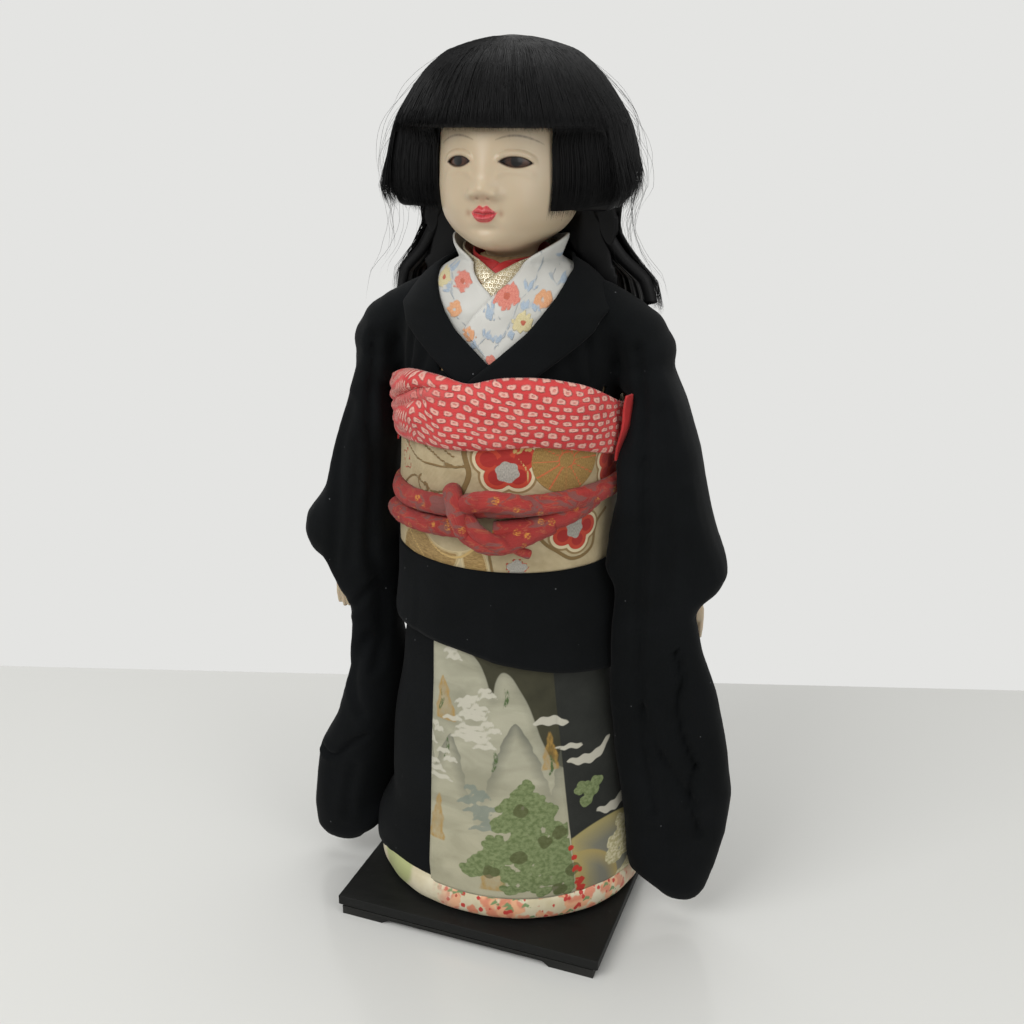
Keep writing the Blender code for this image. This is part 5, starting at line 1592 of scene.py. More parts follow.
def red_silk():
    return plain_silk("red_silk", rgb(196, 34, 34), 0.55)


def wave_gold():
    """Gold cloth with the common pattern of overlapping waves, woven in shiny thread."""
    paint = Paint("gold_waves", rgb(190, 176, 142), 0.5, Sheen_Weight=0.1)
    _, u, v = paint.uv()
    coords = paint.place()
    wide, tall = 3.6, 1.3
    rows = []
    for k in range(2):
        row = paint.plus(paint.math("DIVIDE", v, tall * 2), 0.5 * k)
        cell = paint.plus(paint.math("DIVIDE", u, wide), 0.5 * k)
        dx = paint.times(paint.minus(paint.math("FRACT", cell), 0.5), wide)
        dy = paint.times(paint.math("FRACT", row), tall * 2)
        far = paint.math("SQRT", paint.plus(paint.times(dx, dx), paint.times(dy, dy)))
        rings = paint.sine(far, 0.9)
        inside = paint.remap(far, 1.75, 1.85, 1.0, 0.0)
        rows.append(paint.times(paint.remap(rings, -0.1, 0.3), inside))
    best = paint.most(*rows)
    glint = paint.noise(coords, 500.0, detail=2.0)
    paint.colour = paint.blend(glint, 0.3, 0.7, (160, 142, 106), (190, 174, 138))
    paint.layer(best, paint.blend(glint, 0.35, 0.65, (204, 194, 166), (240, 234, 214)))
    plain = paint.value("plain")
    paint.layer(plain, rgba(176, 142, 106))
    shine = paint.times(best, paint.remap(plain, 0.0, 1.0, 1.0, 0.0))
    paint.set("Metallic", paint.times(shine, 0.35))
    paint.set("Roughness", paint.remap(shine, 0.0, 1.0, 0.62, 0.3))
    paint.bump(best, 0.25)
    crepe_weave(paint, coords, 0.3, 0.04)
    return paint.done()


def plain_strip(v, points):
    """The gold band's folded outer edge and the doll's right part, left without pattern."""
    x = points[..., 0]
    strip = smoothstep(7.0, 7.6, v) * smoothstep(-2.0, -6.0, x) * (points[..., 1] < 0)
    return {"plain": strip}


def embroidered_silk():
    """White silk with stitched chrysanthemums, plum blossoms and blue sprays."""
    paint = Paint("embroidered_silk", rgb(200, 200, 194), 0.65, Sheen_Weight=0.08)
    uv, u, v = paint.uv()
    coords = paint.place()
    slant = paint.plus(u, paint.times(v, 0.4))
    rib = paint.sine(slant, 0.5)
    soft = paint.noise(coords, 45.0, detail=2.0)
    pale = paint.blend(soft, 0.3, 0.7, (182, 181, 175), (208, 207, 201))
    paint.colour = paint.mix(paint.remap(rib, -1.0, 1.0, 0.0, 0.2), pale, rgba(222, 221, 216))
    threads = paint.noise(paint.scaled(uv, 1.0, 4.5), 1.0, detail=2.0)
    shares = []
    for key, low, high in (
        ("stem", (158, 166, 172), (184, 190, 192)),
        ("leaf", (146, 164, 184), (182, 194, 204)),
        ("cream", (200, 186, 136), (224, 212, 172)),
        ("coral", (200, 104, 90), (226, 150, 132)),
        ("amber", (208, 142, 98), (230, 178, 136)),
        ("heart", (178, 84, 66), (200, 110, 84)),
    ):
        share = paint.inside(paint.value(key), soft=0.2)
        paint.layer(share, paint.mix(paint.remap(threads, 0.35, 0.65), rgba(*low), rgba(*high)))
        shares.append(share)
    total = paint.most(*shares)
    paint.bump(total, 0.14)
    paint.bump(paint.times(threads, total), 0.25)
    paint.bump(rib, 0.03)
    return paint.done()


CORAL = ((-15.6, 335.8, 5.8, 0.2), (7.4, 330.6, 7.2, 0.6), (36.0, 345.0, 5.0, 0.3), (-38.0, 338.0, 5.0, 0.3))
AMBER = ((23.6, 328.9, 4.9, 0.1), (-18.4, 323.2, 4.6, 0.5), (-10.4, 312.4, 4.4, 0.5), (46.0, 343.0, 4.6, 0.4))
PALE = ((15.6, 318.8, 5.8, 0.7), (-27.2, 336.0, 5.0, 0.2))
SPRAYS = (
    # x, height, turn and size of a blue spray
    (16.0, 332.5, 1.1, 4.6),
    (18.5, 325.0, 0.4, 4.0),
    (14.0, 328.0, -0.6, 3.6),
    (1.7, 323.5, 2.4, 4.4),
    (-1.5, 320.5, 0.6, 3.4),
    (-22.3, 338.7, 1.9, 4.2),
    (-22.0, 330.5, 2.4, 3.6),
    (-2.5, 311.0, 0.9, 4.0),
    (4.5, 309.0, 2.0, 3.6),
    (-6.5, 306.5, 2.6, 3.2),
    (29.5, 335.0, 0.8, 3.6),
    (8.5, 312.5, 0.3, 3.0),
    (26.5, 343.0, 1.3, 3.8),
)


def fringed(x, z, cx, cz, r, count, seed):
    """A flower of narrow stitched petals round an empty middle."""
    a = np.arctan2(z - cz, x - cx)
    d = np.hypot(x - cx, z - cz)
    turn = a / TAU * count + seed
    wedge = np.abs(turn - np.round(turn)) * TAU / count * d
    reach_out = r * (0.88 + 0.12 * np.cos(np.round(turn) * 2.4))
    petal = np.maximum(wedge - TAU / count * r * 0.27, d - reach_out)
    return np.maximum(petal, r * 0.18 - d)


def embroidery(_, points):
    """Signed distances in the front view's millimetres, over the band's face."""
    x, z = points[..., 0], points[..., 2]
    front = np.where(points[..., 1] < 6.0, 0.0, 50.0)
    coral = [fringed(x, z, cx, cz, r, 13, t) for cx, cz, r, t in CORAL]
    coral = union(*coral, d_flower(x, z, 0.8, 301.0, 2.8, 5))
    amber = union(*[fringed(x, z, cx, cz, r, 11, t) for cx, cz, r, t in AMBER])
    cream = union(*[fringed(x, z, cx, cz, r, 9, t) for cx, cz, r, t in PALE])
    heart = union(*[d_circle(x, z, cx, cz, 0.24 * r) for cx, cz, r, t in (*CORAL, *PALE)])
    leaves, stems = [], []
    for cx, cz, turn, size in SPRAYS:
        for k in (-1, 0, 1):
            bent = turn + 0.7 * k
            tip_x, tip_z = cx + 0.7 * size * math.cos(bent), cz + 0.7 * size * math.sin(bent)
            leaves.append(d_ellipse(x, z, tip_x, tip_z, size * 0.62, 0.75, bent))
        root = (cx - size * math.cos(turn), cz - size * math.sin(turn))
        stems.append(d_line(x, z, [root, (cx, cz)], 0.6))
    for path in (
        [(20.5, 352.0), (20.2, 344.0), (18.6, 335.0)],
        [(12.0, 326.0), (9.0, 317.0), (2.0, 306.0)],
        [(-24.0, 345.0), (-21.0, 332.0), (-16.0, 318.0)],
        [(-14.0, 318.0), (-6.0, 307.0), (-1.0, 302.0)],
        [(24.0, 340.0), (28.0, 335.0), (31.0, 341.0)],
    ):
        stems.append(d_line(x, z, spline(path), 0.8))
    found = {
        "coral": coral,
        "amber": amber,
        "cream": cream,
        "heart": heart,
        "leaf": union(*leaves),
        "stem": union(*stems),
    }
    return {key: d + front for key, d in found.items()}


def make_collars():
    """The four layers at the neck, from the inside out."""
    gold = wave_gold()
    return [
        make_collar("red_collar_silk", RED_ROWS, 1.0, red_silk(), "collar_red"),
        make_collar("gold_collar_cloth", GOLD_ROWS, 1.0, gold, "collar_gold", plain_strip),
        make_collar("white_collar_silk", WHITE_ROWS, 1.2, embroidered_silk(), "collar_white", embroidery),
        make_collar("black_collar_cloth", BLACK_ROWS, 1.7, black_crepe(), "kimono_collar"),
    ]


# Linings


def make_under_robe():
    def section(a, h):
        return -0.4 + 0.5 * np.sin(8 * a) * smoothstep(180.0, 60.0, h), h

    heights = np.linspace(1.2, WAIST - 1.0, 40)
    return ring_piece("under_robe_silk", section, heights, 100, 0.8, red_silk(), "under_robe")


def make_strips():
    """The red lining that shows between the sash and each sleeve."""
    silk = red_silk()
    for side, sign, first, last, out in (("left", 1.0, 66.0, 78.0, 5.0), ("right", -1.0, 76.0, 88.0, 1.2)):
        a, t = np.meshgrid(np.radians(np.linspace(first, last, 12)), np.linspace(0.0, 1.0, 40), indexing="ij")
        height = 283.0 - 33.0 * t
        far = OBI_OUT + out + 3.2 * (1.0 - t) * (out > 2.0) + 0.5 * np.sin(9 * t + 3 * a)
        points = around(a * sign, height, far)
        strip = new_object("lining_strip_" + side, points, grid_faces(12, 40))
        solidify(strip, 0.9, 0.0)
        wear(strip, silk)
        place(strip, "sleeve_lining_" + side)
        as_sheet(strip, 33.0)


# Head


HEAD_ROWS = (
    # height above the chin, half width, front depth, back depth
    (-27.0, 12.3, 12.3, 12.3),
    (-3.6, 12.3, 12.3, 12.3),
    (-2.0, 12.5, 14.5, 12.7),
    (0.0, 13.2, 25.0, 13.5),
    (1.8, 15.0, 33.5, 15.0),
    (4.5, 20.0, 37.5, 17.5),
    (8.5, 25.8, 40.0, 21.0),
    (14.0, 30.3, 41.5, 25.5),
    (20.0, 32.6, 42.2, 29.0),
    (30.0, 34.1, 42.0, 34.0),
    (41.0, 34.1, 41.4, 37.0),
    (53.0, 33.0, 41.0, 37.3),
    (60.0, 31.5, 38.4, 35.8),
    (70.0, 27.5, 31.5, 31.0),
    (79.0, 20.0, 20.5, 21.5),
    (84.5, 11.0, 11.0, 12.0),
    (86.5, 3.0, 3.0, 3.2),
)
EYE_X, EYE_H = 13.5, 41.0


def smooth_rows(rows, step=0.25, spread=1.4):
    """Rows read at even small steps and rounded, so that no corner shows between them."""
    rows = np.array(rows)
    order = np.argsort(rows[:, 0])
    rows = rows[order]
    levels = np.arange(rows[0, 0], rows[-1, 0] + step / 2, step)
    reach_steps = int(4 * spread / step)
    kernel = np.exp(-0.5 * (np.arange(-reach_steps, reach_steps + 1) * step / spread) ** 2)
    kernel /= kernel.sum()
    columns = [levels]
    for k in range(1, rows.shape[1]):
        dense = np.interp(levels, rows[:, 0], rows[:, k])
        padded = np.pad(dense, reach_steps, mode="reflect", reflect_type="odd")
        columns.append(np.convolve(padded, kernel, mode="valid"))
    return np.stack(columns, 1)


HEAD_FORM = smooth_rows(HEAD_ROWS)


def eye_contour(x, h):
    """Signed distance to the almond openings, one each side of the nose."""
    across = np.abs(x) - EYE_X
    t = np.clip(across / 6.6, -1.0, 1.0)
    upper = 2.35 * (1.0 - np.abs(t) ** 2.3) ** 0.9 - 0.5 * t - 0.4
    lower = -2.0 * (1.0 - t * t) ** 0.95 - 0.5 * t - 0.4
    inside = np.maximum(h - EYE_H - upper, lower - (h - EYE_H))
    return np.maximum(inside * 0.9, np.abs(across) - 6.6)


def upper_lid(x):
    """The height of the fold above each eye."""
    t = np.clip((np.abs(x) - EYE_X) / 7.6, -1.15, 1.15)
    return EYE_H - 0.4 + 4.9 * np.sqrt(np.clip(1.0 - 0.72 * t * t, 0.05, 1.0)) - 0.5 * t


def lips(x, h):
    """The upper lip's, lower lip's and parting line's signed distances."""
    w = np.clip(np.abs(x) / 6.1, 0.0, 1.0)
    parting = 18.7 + 0.5 * w**2 - 0.35 * np.exp(-((x / 1.0) ** 2))
    top = 21.3 + 1.1 * np.exp(-(((np.abs(x) - 1.8) / 1.3) ** 2)) - 2.4 * w**2.6
    low = 14.8 + 4.4 * w**3.0
    upper = np.maximum(np.maximum(h - top, parting - h), np.abs(x) - 6.1)
    lower = np.maximum(np.maximum(low - h, h - parting), np.abs(x) - 6.1)
    return upper, lower, parting


def brow(x, h):
    """Signed distance to the painted brows."""
    t = (np.abs(x) - 14.6) / 9.8
    middle = 51.9 - 3.0 * t * t - 1.1 * t
    half = 0.48 * np.sqrt(np.clip(1.0 - t * t, 0.0, 1.0))
    return np.where(np.abs(t) < 1.0, np.abs(h - middle) - half, 5.0)


FACE_FORMS = (
    # x, height, spread in x, spread in height, how far it stands out
    (0.0, 28.8, 5.4, 4.2, 4.5),
    (0.0, 35.0, 8.0, 8.0, 2.3),
    (0.0, 43.0, 9.0, 8.0, 1.1),
    (6.0, 27.2, 2.9, 2.5, 2.5),
    (0.0, 17.8, 6.6, 4.6, 1.2),
    (0.0, 11.6, 5.5, 1.8, -1.0),
    (0.0, 24.0, 1.6, 2.0, -0.4),
    (0.0, 5.4, 8.5, 4.6, 1.9),
    (13.5, 42.0, 8.0, 6.0, -1.3),
    (19.0, 23.0, 11.0, 10.0, 1.6),
    (7.6, 18.0, 2.0, 2.6, -0.8),
    (7.6, 28.2, 1.0, 2.6, -0.4),
)


def face_relief(x, h):
    """How far the face stands out from the head's smooth form."""
    total = np.zeros(np.shape(x))
    for across, level, wide, tall, out in FACE_FORMS:
        for centre in {across, -across}:
            total = total + out * np.exp(-(((x - centre) / wide) ** 2) - ((h - level) / tall) ** 2)
    upper, lower, parting = lips(x, h)
    total += 1.7 * smoothstep(0.1, -1.5, upper) + 2.2 * smoothstep(0.1, -2.2, lower)
    corner = smoothstep(6.6, 5.0, np.abs(x))
    total -= 0.7 * np.exp(-(((h - parting) / 0.4) ** 2)) * corner
    for side in (-1.0, 1.0):
        total -= 1.1 * np.exp(-(((x - side * 2.5) / 1.1) ** 2) - ((h - 25.2) / 0.8) ** 2)
    eye = eye_contour(x, h)
    lid = upper_lid(x)
    near_eye = smoothstep(9.2, 6.0, np.abs(np.abs(x) - EYE_X))
    total += 1.35 * np.exp(-(((h - (lid - 1.1)) / 1.7) ** 2)) * near_eye
    total += 0.5 * np.exp(-(((h - (lid - 8.4)) / 1.8) ** 2)) * near_eye
    total -= 0.45 * np.exp(-(((h - lid - 0.7) / 0.42) ** 2)) * near_eye
    total -= 3.4 * smoothstep(0.1, -0.55, eye)
    return total


def head_surface(angle, h, offset=0.0):
    """Across and depth of the head's form, without the face's relief."""
    return surface_of(HEAD_FORM, angle, h, offset)


def gofun():
    """Satin shell-white paint over the head and hands, with the features painted on, and painted shade at the
    mouth corners, under the chin, round the eye openings and in the nostrils.
    """
    paint = Paint("shell_white_skin", rgb(190, 171, 144), 0.42, Subsurface_Weight=0.1, Coat_Weight=0.12)
    paint.set("Subsurface Scale", 0.002)
    paint.set("Coat Roughness", 0.35)
    coords = paint.place()
    tone = paint.noise(coords, 30.0, detail=2.0)
    paint.colour = paint.blend(tone, 0.3, 0.7, (186, 167, 139), (194, 177, 151))
    # Painted shade: brown in the dented mouth corners and just below the chin
    paint.layer(paint.times(paint.value("painted_shade"), 0.5), rgba(154, 110, 84))
    crease_share = paint.shape("crease", soft=0.4)
    paint.tint(crease_share, 0.45, (150, 108, 78))
    # Dark brown rim round each eye opening: partly painted eyeliner, partly painted shade at the opening's
    # edge; inside the opening, painted shade in near black
    rim = paint.shape("eye", 0.4, 0.4)
    paint.tint(rim, 0.85, (60, 36, 28))
    paint.layer(paint.shape("eye", 0.0, 0.2), rgba(22, 12, 10))
    hairs = paint.noise(paint.scaled(coords, 900.0, 900.0, 260.0), 1.0, detail=1.0)
    brow_ink = paint.remap(hairs, 0.2, 0.6, 0.35, 0.7)
    brow_share = paint.times(paint.shape("brow", soft=0.4), brow_ink)
    paint.layer(brow_share, rgba(92, 78, 64))
    streaks = paint.noise(paint.scaled(coords, 1300.0, 300.0, 200.0), 1.0, detail=1.0)
    lip = paint.shape("lip", soft=0.28)
    paint.layer(paint.times(paint.shape("lip", 0.5, 0.4), 0.6), rgba(198, 146, 124))
    paint.layer(lip, paint.blend(streaks, 0.3, 0.7, (178, 48, 58), (204, 84, 86)))
    parting = paint.shape("parting", soft=0.25)
    paint.tint(parting, 0.8, (112, 26, 32))
    # Painted shade in the nostril dents
    nostril = paint.shape("nostril", soft=0.35)
    paint.tint(nostril, 0.4, (120, 84, 64))
    paint.set("Roughness", paint.remap(lip, 0.0, 1.0, 0.42, 0.22))
    paint.bump(paint.noise(coords, 1500.0, detail=2.0), 0.012)
    paint.bump(paint.times(streaks, lip), 0.08)
    return paint.done()


def make_head():
    fine = np.arange(-68.0, 68.01, 0.68)
    coarse = np.arange(72.0, 290.0, 6.0)
    angles = np.radians(np.concatenate([fine, coarse]))
    levels = np.concatenate(
        [np.arange(-27.0, -2.5, 2.0), np.arange(-2.5, 60.0, 0.45), np.arange(60.0, 86.6, 1.4), [86.5]]
    )
    a, h = np.meshgrid(angles, levels, indexing="ij")
    x, y = head_surface(a, h)
    facing = smoothstep(-0.5, 3.0, h) * (np.cos(a) > 0)
    y = y - face_relief(x, h) * facing
    upper, lower, parting = lips(x, h)
    away = np.where(np.cos(a) > 0, 0.0, 9.0)
    beside = np.abs(np.abs(x) - EYE_X)
    dimple = np.exp(-(((np.abs(x) - 7.7) / 1.2) ** 2) - ((h - 18.6) / 1.5) ** 2)
    values = {
        "eye": eye_contour(x, h) + away,
        "crease": np.abs(h - upper_lid(x) - 0.7) - 0.15 + 4.0 * smoothstep(4.5, 6.5, beside) + away,
        "lip": union(upper, lower) + away,
        "parting": np.abs(h - parting) - 0.15 + 3.0 * smoothstep(5.0, 6.4, np.abs(x)) + away,
        "brow": brow(x, h) + away,
        # The nostrils carry painted shade in their dents
        "nostril": union(d_circle(x, h, 2.5, 25.4, 0.7), d_circle(x, h, -2.5, 25.4, 0.7)) + away,
        # Painted shade at the dented mouth corners and just below the chin
        "painted_shade": 1.1 * dimple + 0.35 * np.exp(-(((h + 1.0) / 3.0) ** 2)),
    }
    points = np.stack([x, y, h], -1)
    head = new_object("head_skin", points, grid_faces(len(angles), len(levels), True), "head", values=values)
    skin = gofun()
    wear(head, skin)
    place(head, "head")
    make_eyes()
    make_hands(skin)


def eye_glass():
    paint = Paint("glass_eye", rgb(30, 17, 13), 0.3, Coat_Weight=0.25, Coat_Roughness=0.12)
    paint.set("Specular IOR Level", 0.3)
    iris = paint.value("iris")
    rays = paint.noise(paint.place(), 900.0, detail=2.0)
    paint.colour = paint.mix(paint.inside(iris, 6.0, 0.5), rgba(138, 116, 104), rgba(14, 8, 7))
    warm = paint.blend(rays, 0.3, 0.7, (50, 30, 22), (80, 50, 36))
    paint.layer(paint.inside(iris, 4.8, 0.6), warm)
    paint.layer(paint.inside(iris, 2.3, 0.4), rgba(6, 4, 5))
    return paint.done()


def make_eyes():
    """Inset glass eyes behind the lids."""
    glass = eye_glass()
    for side, sign in (("left", 1.0), ("right", -1.0)):
        x, h = np.meshgrid(np.linspace(-7.6, 7.6, 46), np.linspace(-4.0, 4.2, 30), indexing="ij")
        place_x, place_h = x + sign * EYE_X, h + EYE_H
        half, front, _ = sizes_at(HEAD_FORM, EYE_H)
        y = -front * np.sqrt(1.0 - (place_x / half) ** 2) + 3.3
        y += 2.0 * smoothstep(0.9, 1.3, np.hypot(x / 7.6, h / 4.1))
        y -= 1.25 * np.exp(-((x / 5.6) ** 2) - (h / 4.6) ** 2)
        iris = np.hypot(x + 0.2, h - 0.2)
        points = np.stack([place_x, y, place_h], -1)
        eye = new_object("eye_glass_" + side, points, grid_faces(46, 30), "head", values={"iris": iris})
        solidify(eye, 0.8, 1.0)
        wear(eye, glass)
        place(eye, "eye_" + side)


def make_hands(skin):
    """The hands, rounded from their own solids."""
    for side in ("left", "right"):
        hand = remeshed("hand_skin_" + side, ["hand_" + side], 0.42, 5)
        clear = np.full(len(hand.data.vertices), 9.0)
        features = ("eye", "crease", "lip", "parting", "brow", "nostril")
        write_values(hand.data, {key: clear for key in features})
        wear(hand, skin)
        place(hand, "hand_" + side)


# Hair


HAIR_ROWS = (
    # height above the chin, half width, front depth, back depth of the outer surface
    (-30.0, 66.0, 44.0, 54.5),
    (-14.0, 65.0, 44.0, 52.5),
    (-4.0, 58.0, 44.0, 50.5),
    (8.0, 54.5, 44.0, 49.0),
    (18.0, 56.0, 44.5, 49.0),
    (27.0, 61.0, 45.0, 49.5),
    (40.0, 60.0, 46.5, 49.5),
    (47.0, 58.0, 47.5, 49.0),
    (55.0, 56.0, 47.5, 48.5),
    (61.0, 53.5, 46.5, 47.5),
    (73.0, 45.5, 41.5, 43.5),
    (81.0, 39.0, 35.5, 38.5),
    (88.5, 30.0, 26.0, 30.0),
    (93.5, 14.0, 12.5, 15.0),
    (95.0, 2.0, 2.0, 2.0),
)
HAIR_FORM = smooth_rows(HAIR_ROWS, spread=1.2)
FACE_EDGE, LOCK_EDGE = 65.0, 101.0


def hair_surface(angle, h, offset=0.0):
    x, y = surface_of(HAIR_FORM, angle, h, offset)
    return np.stack([x, y, h + 0.0 * x], -1)


def hair_low(angle):
    """The height above the chin where the hair is cut, at an angle from the front."""
    degrees = np.abs(np.degrees(signed_turn(np.mod(angle, TAU))))
    fringe = 54.6 - 1.8 * (degrees / 60.0) ** 2
    lock = 19.0 + 19.0 * np.clip((degrees - FACE_EDGE) / (LOCK_EDGE - FACE_EDGE), 0, 1) ** 1.5
    back = -30.0
    return np.where(degrees < FACE_EDGE, fringe, np.where(degrees < LOCK_EDGE + 2.0, lock, back))


def lock_fronts(rng, count, side):
    """Hairs that fall from the cap in front of a side lock, from beside the face outward."""
    s = rng.random(count)[:, None]
    cap_angle = np.radians(side * (46.0 + 24.0 * s))
    t = np.linspace(0.0, 1.0, 11)[None, :]
    foot = 17.5 + 4.5 * s**2 + rng.normal(0.0, 1.1, (count, 1))
    top = 93.0 - rng.random((count, 1)) * 10.0
    h = top + (foot - top) * t**1.05
    cap = hair_surface(cap_angle + 0.0 * t, np.maximum(h, 58.0), 0.2)
    near_angle = np.radians(side * 51.0)
    near_x, near_y = head_surface(near_angle, h, 1.6)
    far = hair_surface(np.radians(side * 69.0), h, 0.4)
    foot_x = near_x + (far[..., 0] - near_x) * s
    foot_y = near_y + (far[..., 1] - near_y) * s - 3.0 * np.sin(math.pi * s)
    fall = smoothstep(66.0, 50.0, h)
    x = cap[..., 0] + (foot_x - cap[..., 0]) * fall
    y = cap[..., 1] + (foot_y - cap[..., 1]) * fall
    shake = rng.normal(0.0, 0.35, (count, 1)) * t
    inward = rng.random((count, 1))
    return np.stack([x + shake * side - side * 0.2 * inward, y + inward, h], -1)


def lock_backing(side, material):
    """A dark sheet of hair just behind the front hairs of a side lock."""
    s, t = np.meshgrid(np.linspace(0.0, 1.0, 30), np.linspace(0.0, 1.0, 34), indexing="ij")
    h = 66.0 + (19.0 + 4.5 * s**2 - 66.0) * t
    near_x, near_y = head_surface(np.radians(side * 52.0), h, 1.2)
    far = hair_surface(np.radians(side * 70.0), h, -0.6)
    x = near_x + (far[..., 0] - near_x) * s
    y = near_y + (far[..., 1] - near_y) * s - 3.0 * np.sin(math.pi * s) + 1.6
    tone = 0.3 + 0.3 * np.sin(s * 60.0)
    points = np.stack([x, y, h], -1)
    sheet = new_object("hair_backing", points, grid_faces(30, 34), "head", values={"strand": tone})
    solidify(sheet, 1.0, 0.0)
    wear(sheet, material)
    return place(sheet, slot="wig")


def hair_cloth():
    """Black hair; each strand has its own tone."""
    paint = Paint("hair", rgb(4, 4, 5), 0.5, Specular_IOR_Level=0.2)
    lock = paint.value("strand")
    shade = paint.noise(paint.place(), 120.0, detail=2.0)
    paint.colour = paint.blend(lock, 0.0, 1.0, (2, 2, 3), (10, 10, 11))
    paint.layer(paint.remap(shade, 0.5, 0.75, 0.0, 0.25), rgba(16, 15, 15))
    paint.set("Roughness", paint.remap(shade, 0.3, 0.7, 0.4, 0.55))
    return paint.done()


def make_hair_base(material):
    """The body of the hair: the wig's own solid with combed grooves, drawn in behind the back hair."""
    base = remeshed("hair_body", ["wig"], 2.0, 3)
    points, normals = coordinates(base)
    turned = points - np.array([0.0, 0.0, CHIN])
    x, y = points[:, 0], points[:, 1]
    angle = np.arctan2(x, -y)
    outward = (normals[:, 0] * x + normals[:, 1] * y) / np.hypot(x, y).clip(1.0)
    grooves = 0.22 * np.sin(angle * 90 + 2.0 * np.sin(angle * 17))
    grooves = grooves + 0.2 * wave_noise(9, angle * 24, points[:, 2] / 40.0)
    push = (grooves - 0.35) * smoothstep(0.0, 0.5, outward)
    sunk = 0.17 * smoothstep(44.0, 26.0, turned[:, 2]) * smoothstep(92.0, 99.0, np.degrees(np.abs(angle)))
    inward = np.stack([x, y, 0.0 * x], -1) * sunk[:, None]
    write_points(base, points + normals * push[:, None] - inward)
    strand = 0.5 + 0.5 * np.sin(angle * 140)
    write_values(base.data, {"strand": 0.5 * strand})
    wear(base, material)
    place(base, "wig")
    return base


def back_flare(angle, h):
    """How far the back hair spreads beyond the wig's form toward its ends."""
    side = signed_turn(np.mod(angle, TAU))
    most = np.where(side > 0, 8.5, 5.0)
    return most * smoothstep(6.0, -30.0, h) * np.abs(np.sin(side)) ** 2


def back_sheet(material):
    """The mass of the back hair, a thick sheet with ragged ends."""
    a, t = np.meshgrid(np.radians(np.linspace(103.0, 257.0, 100)), np.linspace(0.0, 1.0, 34), indexing="ij")
    top = 22.0 + 28.0 * smoothstep(118.0, 135.0, np.degrees(np.abs(signed_turn(a))))
    h = top + (hair_low(a) + 3.0 + 0.8 * wave_noise(4, a * 60, 0.0 * t) - top) * t
    aside = smoothstep(135.0, 118.0, np.degrees(np.abs(signed_turn(a))))
    offset = back_flare(a, h) - 1.6 - 6.0 * aside * smoothstep(-14.0, 20.0, h)
    offset = offset + 0.35 * np.sin(a * 110 + 3 * np.sin(a * 20))
    points = hair_surface(a, h, offset - 5.0 * smoothstep(0.22, 0.0, t))
    tone = 0.12 + 0.1 * np.sin(a * 150)
    sheet = new_object("hair_back", points, grid_faces(100, 34), "head", values={"strand": tone})
    solidify(sheet, 6.0, 1.0)
    wear(sheet, material)
    return place(sheet, slot="wig")


def hair_wisps(rng, count):
    """A few thin hairs that have come loose and bow out from the rest."""
    angle = np.radians(rng.choice([1.0, -1.0], count, p=[0.6, 0.4]) * rng.uniform(60, 130, count))[:, None]
    t = np.linspace(0.0, 1.0, 14)[None, :]
    head = rng.uniform(20.0, 90.0, (count, 1))
    foot = head - rng.uniform(20.0, 60.0, (count, 1))
    h = head + (np.maximum(foot, -30.0) - head) * t
    bow = rng.uniform(1.0, 8.0, (count, 1)) * np.sin(math.pi * t) ** 1.3
    bow = bow + rng.uniform(0.0, 6.0, (count, 1)) * t**2 + back_flare(angle, h)
    turn = angle + rng.normal(0.0, 0.06, (count, 1)) * t
    return hair_surface(turn, h, bow)


def strand_mesh(name, paths, widths, material):
    """Thin three-sided hairs along many paths of equal length, as one mesh."""
    paths = np.asarray(paths, float)
    count, steps, _ = paths.shape
    ahead = np.gradient(paths, axis=1)
    ahead /= np.linalg.norm(ahead, axis=2, keepdims=True).clip(1e-6)
    outward = paths * np.array([1.0, 1.0, 0.0]) + np.array([0.0, 0.0, 1e-3])
    outward /= np.linalg.norm(outward, axis=2, keepdims=True)
    across = np.cross(ahead, outward)
    across /= np.linalg.norm(across, axis=2, keepdims=True).clip(1e-6)
    over = np.cross(across, ahead)
    taper = np.minimum(1.0, 3.0 * (1.02 - np.linspace(0, 1, steps)))[None, :, None]
    r = np.asarray(widths)[:, None, None] / 2 * taper
    ring = [paths + r * (across * math.cos(k * TAU / 3) + over * math.sin(k * TAU / 3)) for k in range(3)]
    points = np.stack(ring, 2).reshape(-1, 3)
    base = (np.arange(count)[:, None] * steps + np.arange(steps - 1)[None, :]) * 3
    faces = []
    for k in range(3):
        j = (k + 1) % 3
        faces.append(np.stack([base + k, base + j, base + 3 + j, base + 3 + k], -1).reshape(-1, 4))
    quads = np.concatenate(faces)
    tone = np.repeat(np.random.default_rng(len(name)).random(count), steps * 3)
    hair = new_object(name, points, quads.tolist(), "head", values={"strand": tone})
    wear(hair, material)
    return place(hair, slot="wig")


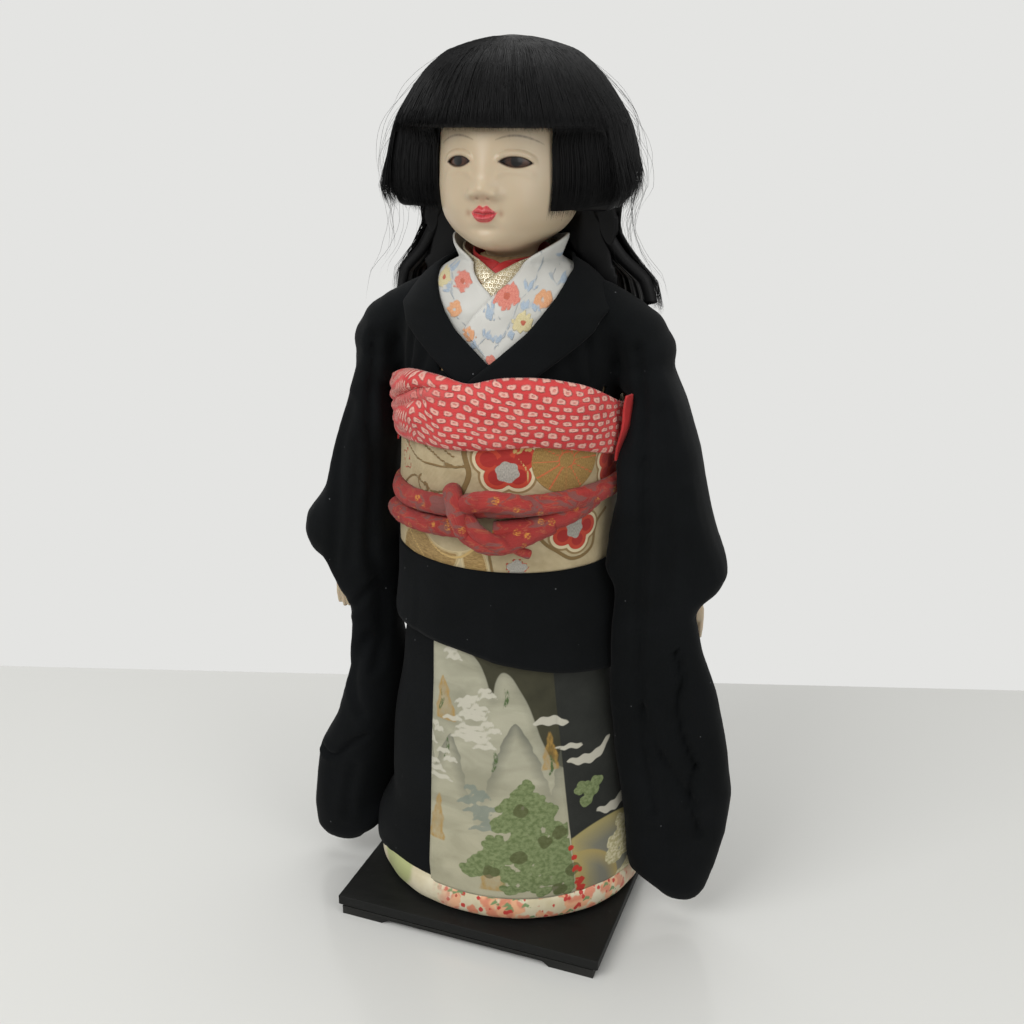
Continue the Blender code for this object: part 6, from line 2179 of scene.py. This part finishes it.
def comb(rng, count, start, end, top=94.0, steps=16, lift=0.5, ragged=0.8, stray=0.0, flare=0.0):
    """Paths of hairs from the crown to the cut edge, between two angles in degrees."""
    angle = np.radians(rng.uniform(start, end, count))
    foot = hair_low(angle) + rng.normal(0.0, ragged, count)
    head = top - rng.random(count) ** 2 * 14.0
    t = np.linspace(0.0, 1.0, steps)[None, :]
    h = head[:, None] + (foot - head)[:, None] * t**1.15
    sway = rng.normal(0.0, 0.012 + stray, count)[:, None] * t
    sway = sway + rng.normal(0.0, 0.004, count)[:, None] * np.sin(9 * t)
    turn = angle[:, None] + sway
    rise = rng.random(count)[:, None] * lift * (0.3 + 0.7 * t)
    rise = rise + rng.normal(0.0, 0.12, count)[:, None] * np.sin(7 * t + turn * 40)
    rise = rise + flare * rng.random(count)[:, None] * smoothstep(45.0, 18.0, h)
    if start > 90.0:
        aside = smoothstep(135.0, 118.0, np.degrees(np.abs(signed_turn(turn))))
        level = smoothstep(-14.0, 20.0, h) * smoothstep(60.0, 30.0, h)
        rise = rise + back_flare(turn, h) - 5.0 * aside * level
    return hair_surface(turn, h, rise + stray * 60 * t**2 * rng.random(count)[:, None])


def make_hair():
    """The whole head of hair, in pieces that hang from its body."""
    rng = np.random.default_rng(12)
    material = hair_cloth()
    base = make_hair_base(material)
    fringe = comb(rng, 1350, -66, 66, steps=9, lift=0.9, ragged=0.45)
    tufts = []
    for side in (-1, 1):
        near, far = sorted((side * FACE_EDGE, side * (LOCK_EDGE + 1.5)))
        tufts.append(comb(rng, 450, near, far, steps=11, lift=1.6, ragged=1.2, flare=5.0))
        tufts.append(lock_fronts(rng, 400, side))
    behind = comb(rng, 1500, 102, 258, steps=12, lift=1.6, ragged=1.7)
    stray = comb(rng, 160, 0, 360, steps=11, lift=2.6, ragged=2.5, stray=0.02)
    wisps = hair_wisps(rng, 90)
    pieces = [
        strand_mesh("hair_fringe", fringe, rng.uniform(0.28, 0.52, len(fringe)), material),
        strand_mesh("hair_locks", np.concatenate(tufts), rng.uniform(0.3, 0.56, 1700), material),
        strand_mesh("hair_behind", behind, rng.uniform(0.34, 0.62, len(behind)), material),
        strand_mesh("hair_stray", stray, rng.uniform(0.1, 0.15, len(stray)), material),
        strand_mesh("hair_wisps", wisps, rng.uniform(0.1, 0.15, len(wisps)), material),
        lock_backing(-1, material),
        lock_backing(1, material),
        back_sheet(material),
    ]
    for piece in pieces:
        piece.parent = base
    return base


# Inner parts


def straw_body():
    """The material of the hidden body."""
    paint = Paint("paper_body", rgb(176, 146, 104), 0.85)
    fibre = paint.noise(paint.scaled(paint.place(), 1.0, 1.0, 0.15), 400.0, detail=3.0)
    paint.colour = paint.blend(fibre, 0.3, 0.7, (158, 128, 88), (190, 162, 122))
    paint.bump(fibre, 0.2)
    return paint.done()


def dress_inner():
    """Materials for the hidden body and the foot pins."""
    body = straw_body()
    metal = Paint("pin_steel", rgb(150, 150, 152), 0.35, 1.0)
    scratches = metal.noise(metal.place(), 700.0)
    metal.set("Roughness", metal.remap(scratches, 0.3, 0.7, 0.28, 0.42))
    steel = metal.done()
    for node in ("torso", "arm_left", "arm_right", "leg_left", "leg_right"):
        wear(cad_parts[node], body)
    for node in ("foot_pin_left", "foot_pin_right"):
        wear(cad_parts[node], steel)


# Sheet lengths and the whole build


def area_of(obj):
    """The area of one face of a thin piece, in square metres."""
    bm = bmesh.new()
    bm.from_mesh(obj.data)
    total = sum(face.calc_area() for face in bm.faces)
    bm.free()
    return total


def as_sheet(obj, width):
    """Works out the length of a sheet's flat cut of this width from its area, and keeps nothing."""
    area_of(obj) / (width * MM)


def main():
    set_camera()
    set_studio()
    dress_stand()
    dress_inner()
    robe = make_under_robe()
    skirt = make_skirt()
    panel = make_front_panel()
    hem = make_hem()
    fold = make_fold()
    upper = make_upper()
    obi = make_obi()
    scarf = make_obiage()
    knot = make_knot()
    cord = make_cord()
    make_strips()
    collars = make_collars()
    make_head()
    make_hair()
    as_sheet(robe, 380.0)
    as_sheet(skirt, 390.0)
    as_sheet(panel, 150.0)
    as_sheet(fold, 330.0)
    as_sheet(obi, 380.0)
    as_sheet(scarf, 380.0)
    for collar in collars:
        as_sheet(collar, 30.0)


main()
